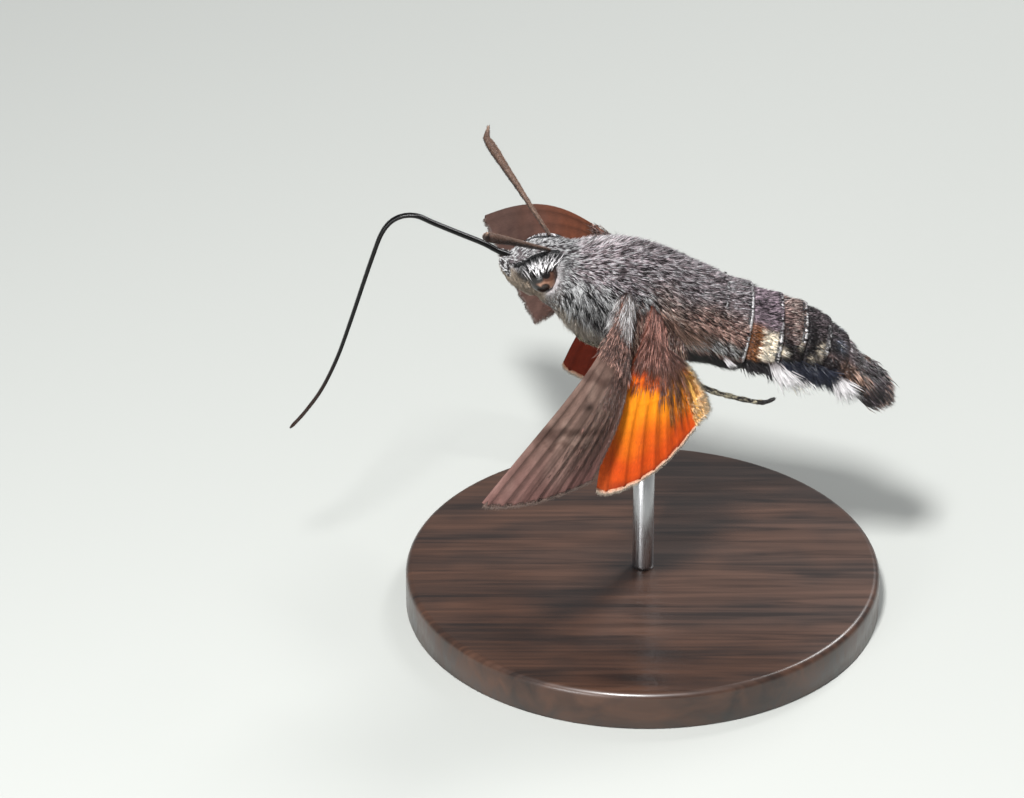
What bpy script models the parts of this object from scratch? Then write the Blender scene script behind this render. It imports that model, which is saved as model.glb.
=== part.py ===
"""A hummingbird hawk moth hovering with its tongue let down, held by a small display stand.

The moth faces -X, its left side faces -Y and the stand's base rests on Z = 0.
All sizes in the constants are millimetres and are scaled to metres by MM.
Points of the animal are given from the centre of its thorax, THORAX_AT.
"""
import math
import random

import bmesh
import bpy
import numpy as np
from mathutils import Vector

MM = 0.001
GAP = 0.3
THORAX_AT = (-1.5, 0.0, 27.0)

# Body sections along the middle line: x, z, half width, half height.
SPINE = (
    (-9.4, 2.75, 0.75, 0.75),
    (-8.8, 2.3, 1.25, 1.15),
    (-7.8, 1.95, 2.05, 1.85),
    (-6.0, 1.72, 2.7, 2.4),
    (-4.6, 1.2, 3.2, 2.85),
    (-1.9, 0.2, 4.1, 4.0),
    (1.1, -0.52, 4.2, 4.1),
    (5.6, -2.15, 4.0, 3.6),
    (9.3, -3.3, 3.8, 3.05),
    (13.0, -4.35, 3.3, 2.65),
    (16.0, -6.1, 2.3, 1.75),
    (18.0, -8.0, 1.2, 0.7),
)
BODY_SIDES = 28
BODY_STEPS = 14
HEAD_FRONT = -8.85
HEAD_BACK = -4.55
THORAX_BACK = 5.0
ABDOMEN_BACK = 15.9
HEAD_NOSE_ROUND = 1.3
END_ROUND = 0.25
TAIL_ROUND = 1.2
# How far the radii have shrunk at a rounded end: a long one is nearly a point.
END_LEAST_LONG = 0.35
END_LEAST_SHORT = 0.9
END_LONG_FROM = 1.0
# The direction that a tube's first ring is turned by, and points between two rows of a path.
TUBE_START = (0.0, 1.0, 0.12)
PATH_FINE = 12

# Eye: centre from the thorax centre, for the left side.
EYE_AT = (-6.13, -1.97, 2.1)
EYE_RADII = (1.12, 1.0, 1.2)
EYE_SIDES = 18
EYE_ROWS = 10

# Palps: path points x, y, z and radius of the left one.
PALP_PATH = (
    (-6.85, -0.85, 0.05, 0.28),
    (-7.6, -0.92, 0.82, 0.46),
    (-8.2, -0.88, 1.65, 0.5),
    (-8.8, -0.75, 2.3, 0.41),
    (-9.15, -0.62, 2.75, 0.26),
)
PALP_SIDES = 12
PALP_STEPS = 8
# The face is cut back along the palps: how far out the cut reaches and how square it is.
PALP_CUT_OUT = 1.1
PALP_CUT_SPARE = 0.05
PALP_CUT_POWER = 0.5
PALP_CUT_SIDES = 16

# Feelers: foot on the head, run of the left one, and thickness.
FEELER_X = -5.75
FEELER_Y = -1.3
FEELER_RUN = (-4.85, -6.8, 4.8)
FEELER_BEND = (-0.03, 0.01, 0.06)
FEELER_HOOK = (0.5, -0.2, 0.35)
FEELER_HOOK_FROM = 0.93
FEELER_CLUB_FROM_TO = (0.8, 0.86)
FEELER_TAPER_POWER = 1.3
FEELER_STEPS = 16
FEELER_SIDES = 10
FEELER_STEM_R = 0.25
FEELER_CLUB_R = 0.37
FEELER_TIP_R = 0.14

# Tongue: middle line x, z in the plane Y = 0.
TONGUE_LINE = (
    (-9.15, 3.06),
    (-9.6, 3.27),
    (-10.6, 3.86),
    (-12.58, 4.76),
    (-14.22, 5.52),
    (-15.4, 6.08),
    (-16.5, 6.05),
    (-17.4, 5.5),
    (-18.05, 4.5),
    (-18.6, 2.95),
    (-19.3, 0.75),
    (-20.4, -2.8),
    (-21.4, -5.8),
    (-22.6, -8.5),
    (-23.9, -10.5),
    (-25.05, -11.9),
)
TONGUE_ROOT_R = 0.29
TONGUE_TIP_R = 0.2
TONGUE_CUTS = (0.0, 0.18, 0.58, 1.0)
TONGUE_FINE = 91
TONGUE_STEPS = 15
TONGUE_SIDES = 10

# Legs of the left side: x, degrees round from the belly, distance off the body.
LEG_FORE = ((-3.2, 24, 0.68), (-1.8, 33, 0.7), (-0.4, 36, 0.75), (1.0, 37, 0.8))
LEG_MID = ((-1.2, 16, 0.68), (-0.2, 21, 0.85), (1.8, 20, 1.1), (3.4, 18, 1.35))
LEG_HIND = (
    (2.6, 30, 0.65),
    (4.0, 29, 1.0),
    (5.7, 23, 1.4),
    (7.6, 20.5, 2.05),
    (9.0, 19.5, 2.3),
    (10.4, 19, 2.45),
    (11.3, 19.5, 2.4),
    (12.1, 21, 2.0),
)
LEG_THICK_R = 0.38
LEG_THIN_R = 0.25
LEG_THIN_POWER = 0.7
LEG_SIDES = 8
LEG_STEPS = (6, 2)
# The right hind leg is drawn up closer to the belly, out of the line of the left one.
LEG_HIND_R_LIFT = 0.6
LEG_LEAST_LIFT = 0.68

# Wings: root, tip and hind corner of each, from the thorax centre.
FORE_ROOT = (-0.5, -4.75, 1.35)
FORE_TIP = (-11.0, -21.3, -6.2)
FORE_CORNER = (-2.75, -13.3, -8.7)
HIND_ROOT = (1.55, -4.95, 0.15)
HIND_TIP = (-2.4, -11.4, -11.2)
HIND_CORNER = (6.0, -5.1, -7.4)
FORE_ROOT_R = (-0.5, 4.75, 1.35)
FORE_TIP_R = (-11.0, 21.1, -5.3)
FORE_CORNER_R = (-6.6, 10.9, -9.0)
HIND_ROOT_R = (1.55, 5.1, 0.15)
HIND_TIP_R = (-4.85, 8.5, -11.8)
HIND_CORNER_R = (3.0, 2.9, -8.5)

# Outline of a wing in its own plane, as offsets of its edges in millimetres.
FORE_COSTA_BOW = 0.5
FORE_COSTA_BOW_R = 1.7
FORE_INNER_BOW = 0.0
FORE_MARGIN_BOW = 0.5
FORE_ROOT_WIDTH = 2.5
COSTA_POWER = 1.35
INNER_POWER = 1.0
MARGIN_POWER = 0.9
HIND_COSTA_BOW = 0.7
HIND_INNER_BOW = 0.5
HIND_MARGIN_BOW = 1.1
HIND_ROOT_WIDTH = 2.1
ROOT_SLANT = 0.75
WING_HALF_T = 0.25
WING_EDGE_HALF_T = 0.15
VEIN_RISE = 0.13
VEIN_HALF_SPREAD = 0.016
FORE_CAMBER = 0.75
HIND_CAMBER = 0.7
CAMBER_ACROSS = 0.1
CAMBER_ALONG = (0.15, 0.7)
# The forewings also arch along their length, most at the front edge.
FORE_ARCH = 1.8
FORE_ARCH_R = 1.0
ARCH_POWER = 0.85
ARCH_FADE = 0.3
FORE_STATIONS = 10
HIND_STATIONS = 9
EDGE_RUN = 0.2
EDGE_VEIN = 0.4
RAY_SPACE = 0.07
CELL_AT = 0.5
NEAR = 1e-6
# Veins: place across the wing from its front edge, and where along it each begins.
FORE_VEINS = (
    (0.05, 0.0), (0.17, 0.0), (0.27, 0.5), (0.36, 0.5), (0.45, 0.5),
    (0.54, 0.5), (0.63, 0.5), (0.72, 0.5), (0.81, 0.0), (0.93, 0.0),
)
HIND_VEINS = (
    (0.07, 0.0), (0.2, 0.0), (0.32, 0.5), (0.44, 0.5), (0.56, 0.5), (0.68, 0.0),
    (0.8, 0.0), (0.92, 0.0),
)
CELL_FROM_TO = (0.17, 0.81)
HIND_CELL_FROM_TO = (0.2, 0.68)

# Flat tapered locks: each widens and thins along its run.
LOCK_THICK = 0.5
LOCK_STEPS = 4
LOCK_ROOT_WIDE = 0.75
LOCK_GROW = 0.5
LOCK_TAPER = (0.93, 2.2)
LOCK_THIN = 0.6
LOCK_SAG = 0.2

# Tufts along the sides of the abdomen, set by their angles from the top of the body.
TUFT_X = (9.0, 10.4, 11.9, 13.3)
TUFT_TURNS = (92, 110, 129, 148)
TUFT_LENGTH = 2.2
TUFT_LOW_EXTRA = 1.5
TUFT_SIZES = (0.88, 0.24)
TUFT_WIDTH = 1.2
TUFT_LEAN = (0.45, 0.6, 0.12)
TUFT_DOWN = 0.35
TUFT_DEEP = 0.75
TUFT_SHIFT = 0.14
TUFT_SEED = 7

# Tail fan: a tapered core with layers of locks, and locks at its sides.
FAN_CLEAR = 0.1
FAN_CORE_LENGTH = 3.6
FAN_CORE_RINGS = (0.0, 0.3, 0.6, 0.85)
FAN_CORE_SIDES = 16
FAN_CORE_GROW = 0.25
FAN_CORE_TAPER = 0.55
FAN_CORE_THIN = 0.75
FAN_HALF_WIDTH = 1.9
FAN_HALF_DEPTH = 1.25
FAN_BEND = 0.6
FAN_LENGTH = 4.9
FAN_SIZES = (0.84, 0.1)
FAN_ROUND = 0.12
FAN_OUTER_SHORTER = 0.05
FAN_SPREAD = 24.0
FAN_LOCKS = 11
FAN_LOCK_WIDTH = 0.95
FAN_LAYERS = 3
FAN_LAYER_STEP = 0.62
FAN_LAYER_SPREAD = 0.04
FAN_ROOT_AT = 0.25
FAN_ROOT_WIDE = 0.72
FAN_SIDE_TURNS = (95, 125, 155)
FAN_SIDE_ROOT = (0.5, 0.7, 0.3, 0.6)
FAN_SIDE_LEAN = (0.75, 0.5)
FAN_SIDE_FORWARD = 0.2
FAN_SIDE_LENGTH = 2.6
FAN_SIDE_WIDTH = 1.0
FAN_SEED = 3

# Stand.
BASE_R = 18.0
BASE_H = 3.0
BASE_EDGE = 0.5
BASE_SIDES = 64
ROD_R = 0.8
ROD_SIDES = 20
ROD_STEPS = 4
ROD_CLEAR = 0.5

# Materials: name, colour, roughness and metal.
FINISHES = {
    "fur": ("fur_brown", (0.2, 0.16, 0.14), 0.85, 0.0),
    "pale": ("fur_pale", (0.62, 0.58, 0.52), 0.85, 0.0),
    "abdomen": ("fur_abdomen", (0.16, 0.1, 0.075), 0.85, 0.0),
    "tail": ("fur_tail", (0.06, 0.05, 0.05), 0.8, 0.0),
    "eye": ("eye", (0.32, 0.22, 0.13), 0.25, 0.0),
    "feeler": ("feeler", (0.14, 0.11, 0.11), 0.7, 0.0),
    "tongue": ("tongue", (0.03, 0.025, 0.025), 0.25, 0.0),
    "leg": ("leg", (0.1, 0.08, 0.075), 0.7, 0.0),
    "forewing": ("forewing", (0.22, 0.17, 0.14), 0.75, 0.0),
    "hindwing": ("hindwing", (0.75, 0.27, 0.04), 0.7, 0.0),
    "base": ("stand_base", (0.05, 0.045, 0.04), 0.35, 0.0),
    "rod": ("stand_rod", (0.55, 0.55, 0.56), 0.3, 1.0),
}


def clear_scene():
    """Remove everything the default scene holds."""
    for item in list(bpy.data.objects):
        bpy.data.objects.remove(item, do_unlink=True)


def material(name, colour, rough, metal):
    """Make a plain material."""
    mat = bpy.data.materials.new(name)
    mat.use_nodes = True
    shader = mat.node_tree.nodes["Principled BSDF"]
    shader.inputs["Base Color"].default_value = (*colour, 1.0)
    shader.inputs["Roughness"].default_value = rough
    shader.inputs["Metallic"].default_value = metal
    return mat


def make_object(name, points, faces, mat, offset=THORAX_AT):
    """Make an object from points in millimetres, with its faces turned out."""
    origin = np.array(offset)
    verts = [tuple((np.array(p) + origin) * MM) for p in points]
    mesh = bpy.data.meshes.new(name)
    mesh.from_pydata(verts, [], faces)
    mesh.validate()
    work = bmesh.new()
    work.from_mesh(mesh)
    bmesh.ops.recalc_face_normals(work, faces=work.faces[:])
    work.to_mesh(mesh)
    work.free()
    mesh.materials.append(mat)
    obj = bpy.data.objects.new(name, mesh)
    bpy.context.scene.collection.objects.link(obj)
    return obj


def smooth_path(rows, count):
    """Pass a smooth curve through rows of numbers and return count even steps."""
    pts = np.array(rows, float)
    last = len(pts) - 1
    fine = []
    for k in range(last * PATH_FINE + 1):
        s = k / PATH_FINE
        i = min(int(s), last - 1)
        f = s - i
        p0 = pts[max(i - 1, 0)]
        p1 = pts[i]
        p2 = pts[i + 1]
        p3 = pts[min(i + 2, last)]
        m1 = (p2 - p0) / 2
        m2 = (p3 - p1) / 2
        a = 2 * f ** 3 - 3 * f ** 2 + 1
        b = f ** 3 - 2 * f ** 2 + f
        c = -2 * f ** 3 + 3 * f ** 2
        d = f ** 3 - f ** 2
        fine.append(a * p1 + b * m1 + c * p2 + d * m2)
    fine = np.array(fine)
    step = np.linalg.norm(np.diff(fine[:, :3], axis=0), axis=1)
    run = np.concatenate([[0.0], np.cumsum(step)])
    want = np.linspace(0.0, run[-1], count)
    return np.stack([np.interp(want, run, fine[:, j]) for j in range(fine.shape[1])], axis=1)


def spine_at(x):
    """Give z, half width and half height of the body at x."""
    rows = np.array(SPINE)
    xs = rows[:, 0]
    i = int(np.clip(np.searchsorted(xs, x) - 1, 0, len(xs) - 2))
    f = (x - xs[i]) / (xs[i + 1] - xs[i])
    lo = max(i - 1, 0)
    hi = min(i + 2, len(xs) - 1)
    span = xs[i + 1] - xs[i]
    m1 = (rows[i + 1] - rows[lo]) / (xs[i + 1] - xs[lo]) * span
    m2 = (rows[hi] - rows[i]) / (xs[hi] - xs[i]) * span
    a = 2 * f ** 3 - 3 * f ** 2 + 1
    b = f ** 3 - 2 * f ** 2 + f
    c = -2 * f ** 3 + 3 * f ** 2
    d = f ** 3 - f ** 2
    out = a * rows[i] + b * m1 + c * rows[i + 1] + d * m2
    return out[1], out[2], out[3]


def spine_tilt(x):
    """Give the direction of the body's middle line at x, as (dx, dz)."""
    near = 0.3
    rise = spine_at(x + near)[0] - spine_at(x - near)[0]
    size = math.hypot(2 * near, rise)
    return 2 * near / size, rise / size


def body_ring(x, shrink):
    """Give one ring of the body at x, with its radii multiplied by shrink."""
    z, half_w, half_h = spine_at(x)
    dx, dz = spine_tilt(x)
    ring = []
    for k in range(BODY_SIDES):
        turn = 2 * math.pi * k / BODY_SIDES
        side = half_w * shrink * math.sin(turn)
        rise = half_h * shrink * math.cos(turn)
        ring.append((x - rise * dz, side, z + rise * dx))
    return ring


def body_at(x, degrees, lift):
    """Give the point at lift off the body's skin, at x and an angle from its top."""
    def on_skin(at, turn):
        z, half_w, half_h = spine_at(at)
        dx, dz = spine_tilt(at)
        rise = half_h * math.cos(turn)
        return np.array((at - rise * dz, half_w * math.sin(turn), z + rise * dx))
    turn = math.radians(degrees)
    step = 0.01
    along = on_skin(x + step, turn) - on_skin(x - step, turn)
    around = on_skin(x, turn + step) - on_skin(x, turn - step)
    out = np.cross(along, around)
    return on_skin(x, turn) + out * lift / np.linalg.norm(out)


def loft(rings):
    """Join rings of equal count into a closed surface with flat ends."""
    points = [p for ring in rings for p in ring]
    count = len(rings[0])
    faces = []
    for r in range(len(rings) - 1):
        for k in range(count):
            a = r * count + k
            b = r * count + (k + 1) % count
            faces.append((a, b, b + count))
            faces.append((a, b + count, a + count))
    faces.append(tuple(range(count)))
    faces.append(tuple(range((len(rings) - 1) * count, len(rings) * count)))
    return points, faces


def end_shrink(depth, length):
    """Give how far the body's radii are reached at a depth from a rounded end."""
    least = END_LEAST_LONG if length > END_LONG_FROM else END_LEAST_SHORT
    left = 1 - min(max(depth / length, 0.0), 1.0)
    return least + (1 - least) * math.sqrt(1 - left * left)


def body_part(name, start, end, start_round, end_round, mat):
    """Make one length of the body with rounded ends."""
    rings = []
    for k in range(BODY_STEPS + 1):
        x = start + (end - start) * (0.5 - 0.5 * math.cos(math.pi * k / BODY_STEPS))
        shrink = end_shrink(x - start, start_round) * end_shrink(end - x, end_round)
        rings.append(body_ring(x, shrink))
    points, faces = loft(rings)
    return make_object(name, points, faces, mat)


def skin_z(x, y, way):
    """Give the height of the body's top (way 1) or underside (way -1) at the point x, y."""
    z, half_w, half_h = spine_at(x)
    return z + way * half_h * math.sqrt(1 - (y / half_w) ** 2) / spine_tilt(x)[0]


def tube(name, path, radii, sides, mat):
    """Make a closed tube along a path of points."""
    path = np.array(path, float)
    tang = np.gradient(path, axis=0)
    tang /= np.linalg.norm(tang, axis=1)[:, None]
    across = np.cross(tang[0], TUBE_START)
    rings = []
    for p, t, r in zip(path, tang, radii):
        across = across - t * np.dot(across, t)
        across /= np.linalg.norm(across)
        up = np.cross(t, across)
        ring = []
        for k in range(sides):
            turn = 2 * math.pi * k / sides
            ring.append(p + r * (math.cos(turn) * across + math.sin(turn) * up))
        rings.append(ring)
    points, faces = loft(rings)
    return make_object(name, points, faces, mat)


def ball(name, at, radii, sides, rows, mat):
    """Make a closed ball with the given half sizes."""
    points = [(at[0], at[1], at[2] + radii[2])]
    faces = []
    for r in range(1, rows):
        tilt = math.pi * r / rows
        for k in range(sides):
            turn = 2 * math.pi * k / sides
            points.append((
                at[0] + radii[0] * math.sin(tilt) * math.cos(turn),
                at[1] + radii[1] * math.sin(tilt) * math.sin(turn),
                at[2] + radii[2] * math.cos(tilt),
            ))
    points.append((at[0], at[1], at[2] - radii[2]))
    foot = len(points) - 1
    for k in range(sides):
        nxt = (k + 1) % sides
        faces.append((0, 1 + k, 1 + nxt))
        base = 1 + (rows - 2) * sides
        faces.append((foot, base + nxt, base + k))
        for r in range(rows - 2):
            a = 1 + r * sides + k
            b = 1 + r * sides + nxt
            faces.append((a, a + sides, b + sides))
            faces.append((a, b + sides, b))
    return make_object(name, points, faces, mat)


def mirrored(point):
    """Give the point of the other side of the animal."""
    return (point[0], -point[1], point[2])


def cut_from(obj, cutter):
    """Cut a closed object out of another and remove the cutter."""
    mod = obj.modifiers.new("cut", "BOOLEAN")
    mod.operation = "DIFFERENCE"
    mod.solver = "EXACT"
    mod.object = cutter
    apply_modifiers(obj)
    bpy.data.objects.remove(cutter, do_unlink=True)


def apply_modifiers(obj):
    """Replace an object's mesh by the result of its modifiers."""
    graph = bpy.context.evaluated_depsgraph_get()
    done = bpy.data.meshes.new_from_object(obj.evaluated_get(graph))
    obj.modifiers.clear()
    obj.data = done


def keep_largest(obj):
    """Keep only the largest closed surface of an object."""
    work = bmesh.new()
    work.from_mesh(obj.data)
    seen = set()
    groups = []
    for start in work.verts:
        if start.index in seen:
            continue
        group = []
        queue = [start]
        seen.add(start.index)
        while queue:
            vert = queue.pop()
            group.append(vert)
            for edge in vert.link_edges:
                other = edge.other_vert(vert)
                if other.index not in seen:
                    seen.add(other.index)
                    queue.append(other)
        groups.append(group)
    groups.sort(key=len)
    for group in groups[:-1]:
        bmesh.ops.delete(work, geom=group, context="VERTS")
    work.to_mesh(obj.data)
    work.free()


def fuse(obj, pieces):
    """Join closed pieces to an object by one union."""
    group = bpy.data.collections.new(obj.name + "_pieces")
    bpy.context.scene.collection.children.link(group)
    for piece in pieces:
        bpy.context.scene.collection.objects.unlink(piece)
        group.objects.link(piece)
    mod = obj.modifiers.new("join", "BOOLEAN")
    mod.operation = "UNION"
    mod.solver = "EXACT"
    mod.operand_type = "COLLECTION"
    mod.collection = group
    apply_modifiers(obj)
    for piece in pieces:
        bpy.data.objects.remove(piece, do_unlink=True)
    bpy.data.collections.remove(group)
    keep_largest(obj)


def lock(name, root, run, flat, length, width, sag, mat):
    """Make one flat tapered lock: run is its direction, flat the way its face looks."""
    run = Vector(run).normalized()
    flat = Vector(flat)
    flat = (flat - run * flat.dot(run)).normalized()
    side = run.cross(flat)
    rings = []
    for k in range(LOCK_STEPS):
        s = k / (LOCK_STEPS - 1)
        wide = width / 2 * (LOCK_ROOT_WIDE + LOCK_GROW * s)
        wide *= math.sqrt(1 - LOCK_TAPER[0] * s ** LOCK_TAPER[1])
        deep = LOCK_THICK / 2 * (1 - LOCK_THIN * s)
        mid = Vector(root) + run * length * s - flat * sag * s * s
        ring = [mid + side * wide, mid + flat * deep, mid - side * wide, mid - flat * deep]
        rings.append([tuple(p) for p in ring])
    points, faces = loft(rings)
    return make_object(name, points, faces, mat)


def wing_axes(root, tip, corner):
    """Give a wing's own directions: along it, across it and out of its face."""
    along = np.array(tip, float) - np.array(root, float)
    back = np.array(corner, float) - np.array(root, float)
    length = np.linalg.norm(along)
    along /= length
    out = np.cross(along, back)
    out /= np.linalg.norm(out)
    across = np.cross(out, along)
    return along, across, out, length, np.dot(back, along), np.dot(back, across)


def bow(start, end, side, amount, power, s):
    """Give a point on a bowed edge between two points of the wing's plane."""
    line = start + (end - start) * s
    return line + side * amount * math.sin(math.pi * s ** power)


def wing_point(sizes, q, t):
    """Give the place in the wing's plane at q across and t along."""
    length, corner_u, corner_v, bows, root_width = sizes
    root_a = np.array((0.0, 0.0))
    root_b = np.array((ROOT_SLANT * root_width, root_width))
    tip = np.array((length, 0.0))
    corner = np.array((corner_u, corner_v))
    front = np.array((0.0, -1.0))
    margin_side = np.array((corner_v, length - corner_u))
    margin_side /= np.linalg.norm(margin_side)
    inner_side = np.array((-corner_v, corner_u))
    inner_side /= np.linalg.norm(inner_side)
    costa = bow(root_a, tip, front, bows[0], COSTA_POWER, t)
    inner = bow(root_b, corner, inner_side, bows[1], INNER_POWER, t)
    root = root_a + (root_b - root_a) * q
    margin = bow(tip, corner, margin_side, bows[2], MARGIN_POWER, q)
    flat = (1 - q) * costa + q * inner + (1 - t) * root + t * margin
    corners = (1 - q) * (1 - t) * root_a + q * (1 - t) * root_b
    corners = corners + (1 - q) * t * tip + q * t * corner
    return flat - corners


def wing_rays(veins):
    """Give the places of the rays across a wing, three to each vein."""
    places = [0.0, 1.0]
    for q, _ in veins:
        places += [q - VEIN_HALF_SPREAD, q, q + VEIN_HALF_SPREAD]
    places.sort()
    rays = [places[0]]
    for q in places[1:]:
        if q - rays[-1] > RAY_SPACE:
            rays.append((q + rays[-1]) / 2)
        rays.append(q)
    return rays


def vein_rise(q, t, veins, cell):
    """Give the height of the vein ridges at a place of the wing."""
    rise = 0.0
    for place, start in veins:
        if abs(q - place) < NEAR and t >= start - NEAR:
            rise = VEIN_RISE
    if abs(t - CELL_AT) < NEAR and cell[0] <= q <= cell[1]:
        rise = VEIN_RISE
    return rise


def wing_lift(q, t, camber, arch):
    """Give how far a wing stands out of its own plane at q across and t along."""
    across = math.sin(math.pi * min(q + CAMBER_ACROSS, 1.0))
    along = math.sin(math.pi * (CAMBER_ALONG[0] + CAMBER_ALONG[1] * t))
    return camber * across * along + arch * (1 - ARCH_FADE * q) * math.sin(math.pi * t ** ARCH_POWER)


def wing(name, root, tip, corner, bows, root_width, lifts, veins, cell, stations, mat):
    """Make a wing as a thin vane with raised veins on both faces."""
    along, across, out, length, corner_u, corner_v = wing_axes(root, tip, corner)
    sizes = (length, corner_u, corner_v, bows, root_width)
    rays = wing_rays(veins)
    steps = [k / stations for k in range(stations + 1)]
    upper = []
    lower = []
    for t in steps:
        for q in rays:
            flat = wing_point(sizes, q, t)
            mid = np.array(root) + along * flat[0] + across * flat[1] + out * wing_lift(q, t, *lifts)
            edge = (1 - t) / EDGE_RUN
            half = WING_EDGE_HALF_T + (WING_HALF_T - WING_EDGE_HALF_T) * min(edge, 1.0)
            half += vein_rise(q, t, veins, cell) * min(edge + EDGE_VEIN, 1.0)
            upper.append(mid + out * half)
            lower.append(mid - out * half)
    wide = len(rays)
    high = len(steps)
    under = len(upper)
    faces = []
    for r in range(high - 1):
        for k in range(wide - 1):
            a = r * wide + k
            faces.append((a, a + 1, a + wide + 1))
            faces.append((a, a + wide + 1, a + wide))
            faces.append((a + under, a + wide + 1 + under, a + 1 + under))
            faces.append((a + under, a + wide + under, a + wide + 1 + under))
    rim = list(range(wide))
    rim += [r * wide + wide - 1 for r in range(1, high)]
    rim += [(high - 1) * wide + k for k in range(wide - 2, -1, -1)]
    rim += [r * wide for r in range(high - 2, 0, -1)]
    for k, a in enumerate(rim):
        b = rim[(k + 1) % len(rim)]
        faces.append((a, a + under, b + under))
        faces.append((a, b + under, b))
    return make_object(name, upper + lower, faces, mat)


def palp_cut(rows, mat):
    """Make the closed form that takes the room of both palps out of the face."""
    tang = np.gradient(rows[:, (0, 2)], axis=0)
    tang /= np.linalg.norm(tang, axis=1)[:, None]
    rings = []
    for (x, y, z, r), (dx, dz) in zip(rows, tang):
        deep = r + GAP + PALP_CUT_SPARE
        reach = deep + PALP_CUT_OUT
        wide = abs(y) + deep + PALP_CUT_SPARE
        ring = []
        for k in range(PALP_CUT_SIDES):
            turn = 2 * math.pi * k / PALP_CUT_SIDES
            front = math.copysign(abs(math.cos(turn)) ** PALP_CUT_POWER, math.cos(turn))
            side = math.copysign(abs(math.sin(turn)) ** PALP_CUT_POWER, math.sin(turn))
            away = PALP_CUT_OUT + reach * front
            ring.append((x - dz * away, wide * side, z + dx * away))
        rings.append(ring)
    points, faces = loft(rings)
    return make_object("palp_room", points, faces, mat)


def make_head(mats):
    """Make the head with the eyes' sockets, the eyes and the palps."""
    head = body_part("head", HEAD_FRONT, HEAD_BACK, HEAD_NOSE_ROUND, END_ROUND, mats["fur"])
    wide = [r + GAP for r in EYE_RADII]
    for side, at in (("left", EYE_AT), ("right", mirrored(EYE_AT))):
        cut_from(head, ball("socket", at, wide, EYE_SIDES, EYE_ROWS, mats["fur"]))
        ball("eye_" + side, at, EYE_RADII, EYE_SIDES, EYE_ROWS, mats["eye"])
    rows = smooth_path(PALP_PATH, PALP_STEPS)
    start = rows[0] * 2 - rows[1]
    end = rows[-1] * 2 - rows[-2]
    cut_from(head, palp_cut(np.array([start, *rows, end]), mats["fur"]))
    keep_largest(head)
    for side, turn in (("left", 1), ("right", -1)):
        path = rows[:, :3] * (1, turn, 1)
        tube("palp_" + side, path, rows[:, 3], PALP_SIDES, mats["pale"])


def make_feelers(mats):
    """Make the two feelers with their thickened ends."""
    run = np.array(FEELER_RUN)
    foot = np.array((FEELER_X, FEELER_Y, skin_z(FEELER_X, FEELER_Y, 1)))
    start = foot + run / np.linalg.norm(run) * (GAP + FEELER_STEM_R)
    full, fall = FEELER_CLUB_FROM_TO
    rows = []
    for k in range(FEELER_STEPS + 1):
        s = k / FEELER_STEPS
        bend = np.array(FEELER_BEND) * math.sin(math.pi * s)
        hook = np.array(FEELER_HOOK) * max(s - FEELER_HOOK_FROM, 0.0) / (1 - FEELER_HOOK_FROM)
        r = FEELER_STEM_R + (FEELER_CLUB_R - FEELER_STEM_R) * min(s / full, 1.0) ** 2
        if s > fall:
            r += (FEELER_TIP_R - FEELER_CLUB_R) * ((s - fall) / (1 - fall)) ** FEELER_TAPER_POWER
        rows.append((*(start + run * s + bend + hook), r))
    rows = np.array(rows)
    for side, turn in (("left", 1), ("right", -1)):
        tube("antenna_" + side, rows[:, :3] * (1, turn, 1), rows[:, 3], FEELER_SIDES, mats["feeler"])


def make_tongue(mats):
    """Make the tongue in three lengths."""
    line = [(x, 0.0, z, 0.0) for x, z in TONGUE_LINE]
    path = smooth_path(line, TONGUE_FINE)[:, :3]
    step = np.linalg.norm(np.diff(path, axis=0), axis=1)
    run = np.concatenate([[0.0], np.cumsum(step)])
    total = run[-1]
    last = len(TONGUE_CUTS) - 2
    for k in range(last + 1):
        start = TONGUE_CUTS[k] * total + (GAP / 2 if k > 0 else 0.0)
        end = TONGUE_CUTS[k + 1] * total - (GAP / 2 if k < last else 0.0)
        want = np.linspace(start, end, TONGUE_STEPS)
        part = np.stack([np.interp(want, run, path[:, j]) for j in range(3)], axis=1)
        radii = TONGUE_ROOT_R + (TONGUE_TIP_R - TONGUE_ROOT_R) * want / total
        tube("proboscis_" + str(k + 1), part, radii, TONGUE_SIDES, mats["tongue"])


def make_legs(mats):
    """Make the six legs, held under the body from its named sizes."""
    for pair, rows in (("fore", LEG_FORE), ("mid", LEG_MID), ("hind", LEG_HIND)):
        for side, turn in (("left", 1), ("right", -1)):
            drawn_up = LEG_HIND_R_LIFT if (pair, side) == ("hind", "right") else 1.0
            line = [body_at(x, 180 + degrees, max(lift * drawn_up, min(lift, LEG_LEAST_LIFT)))
                    for x, degrees, lift in rows]
            path = smooth_path(line, LEG_STEPS[0] + LEG_STEPS[1] * len(rows))
            thin = np.linspace(0, 1, len(path)) ** LEG_THIN_POWER
            radii = LEG_THICK_R + (LEG_THIN_R - LEG_THICK_R) * thin
            tube("leg_" + pair + "_" + side, path * (1, turn, 1), radii, LEG_SIDES, mats["leg"])


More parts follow.
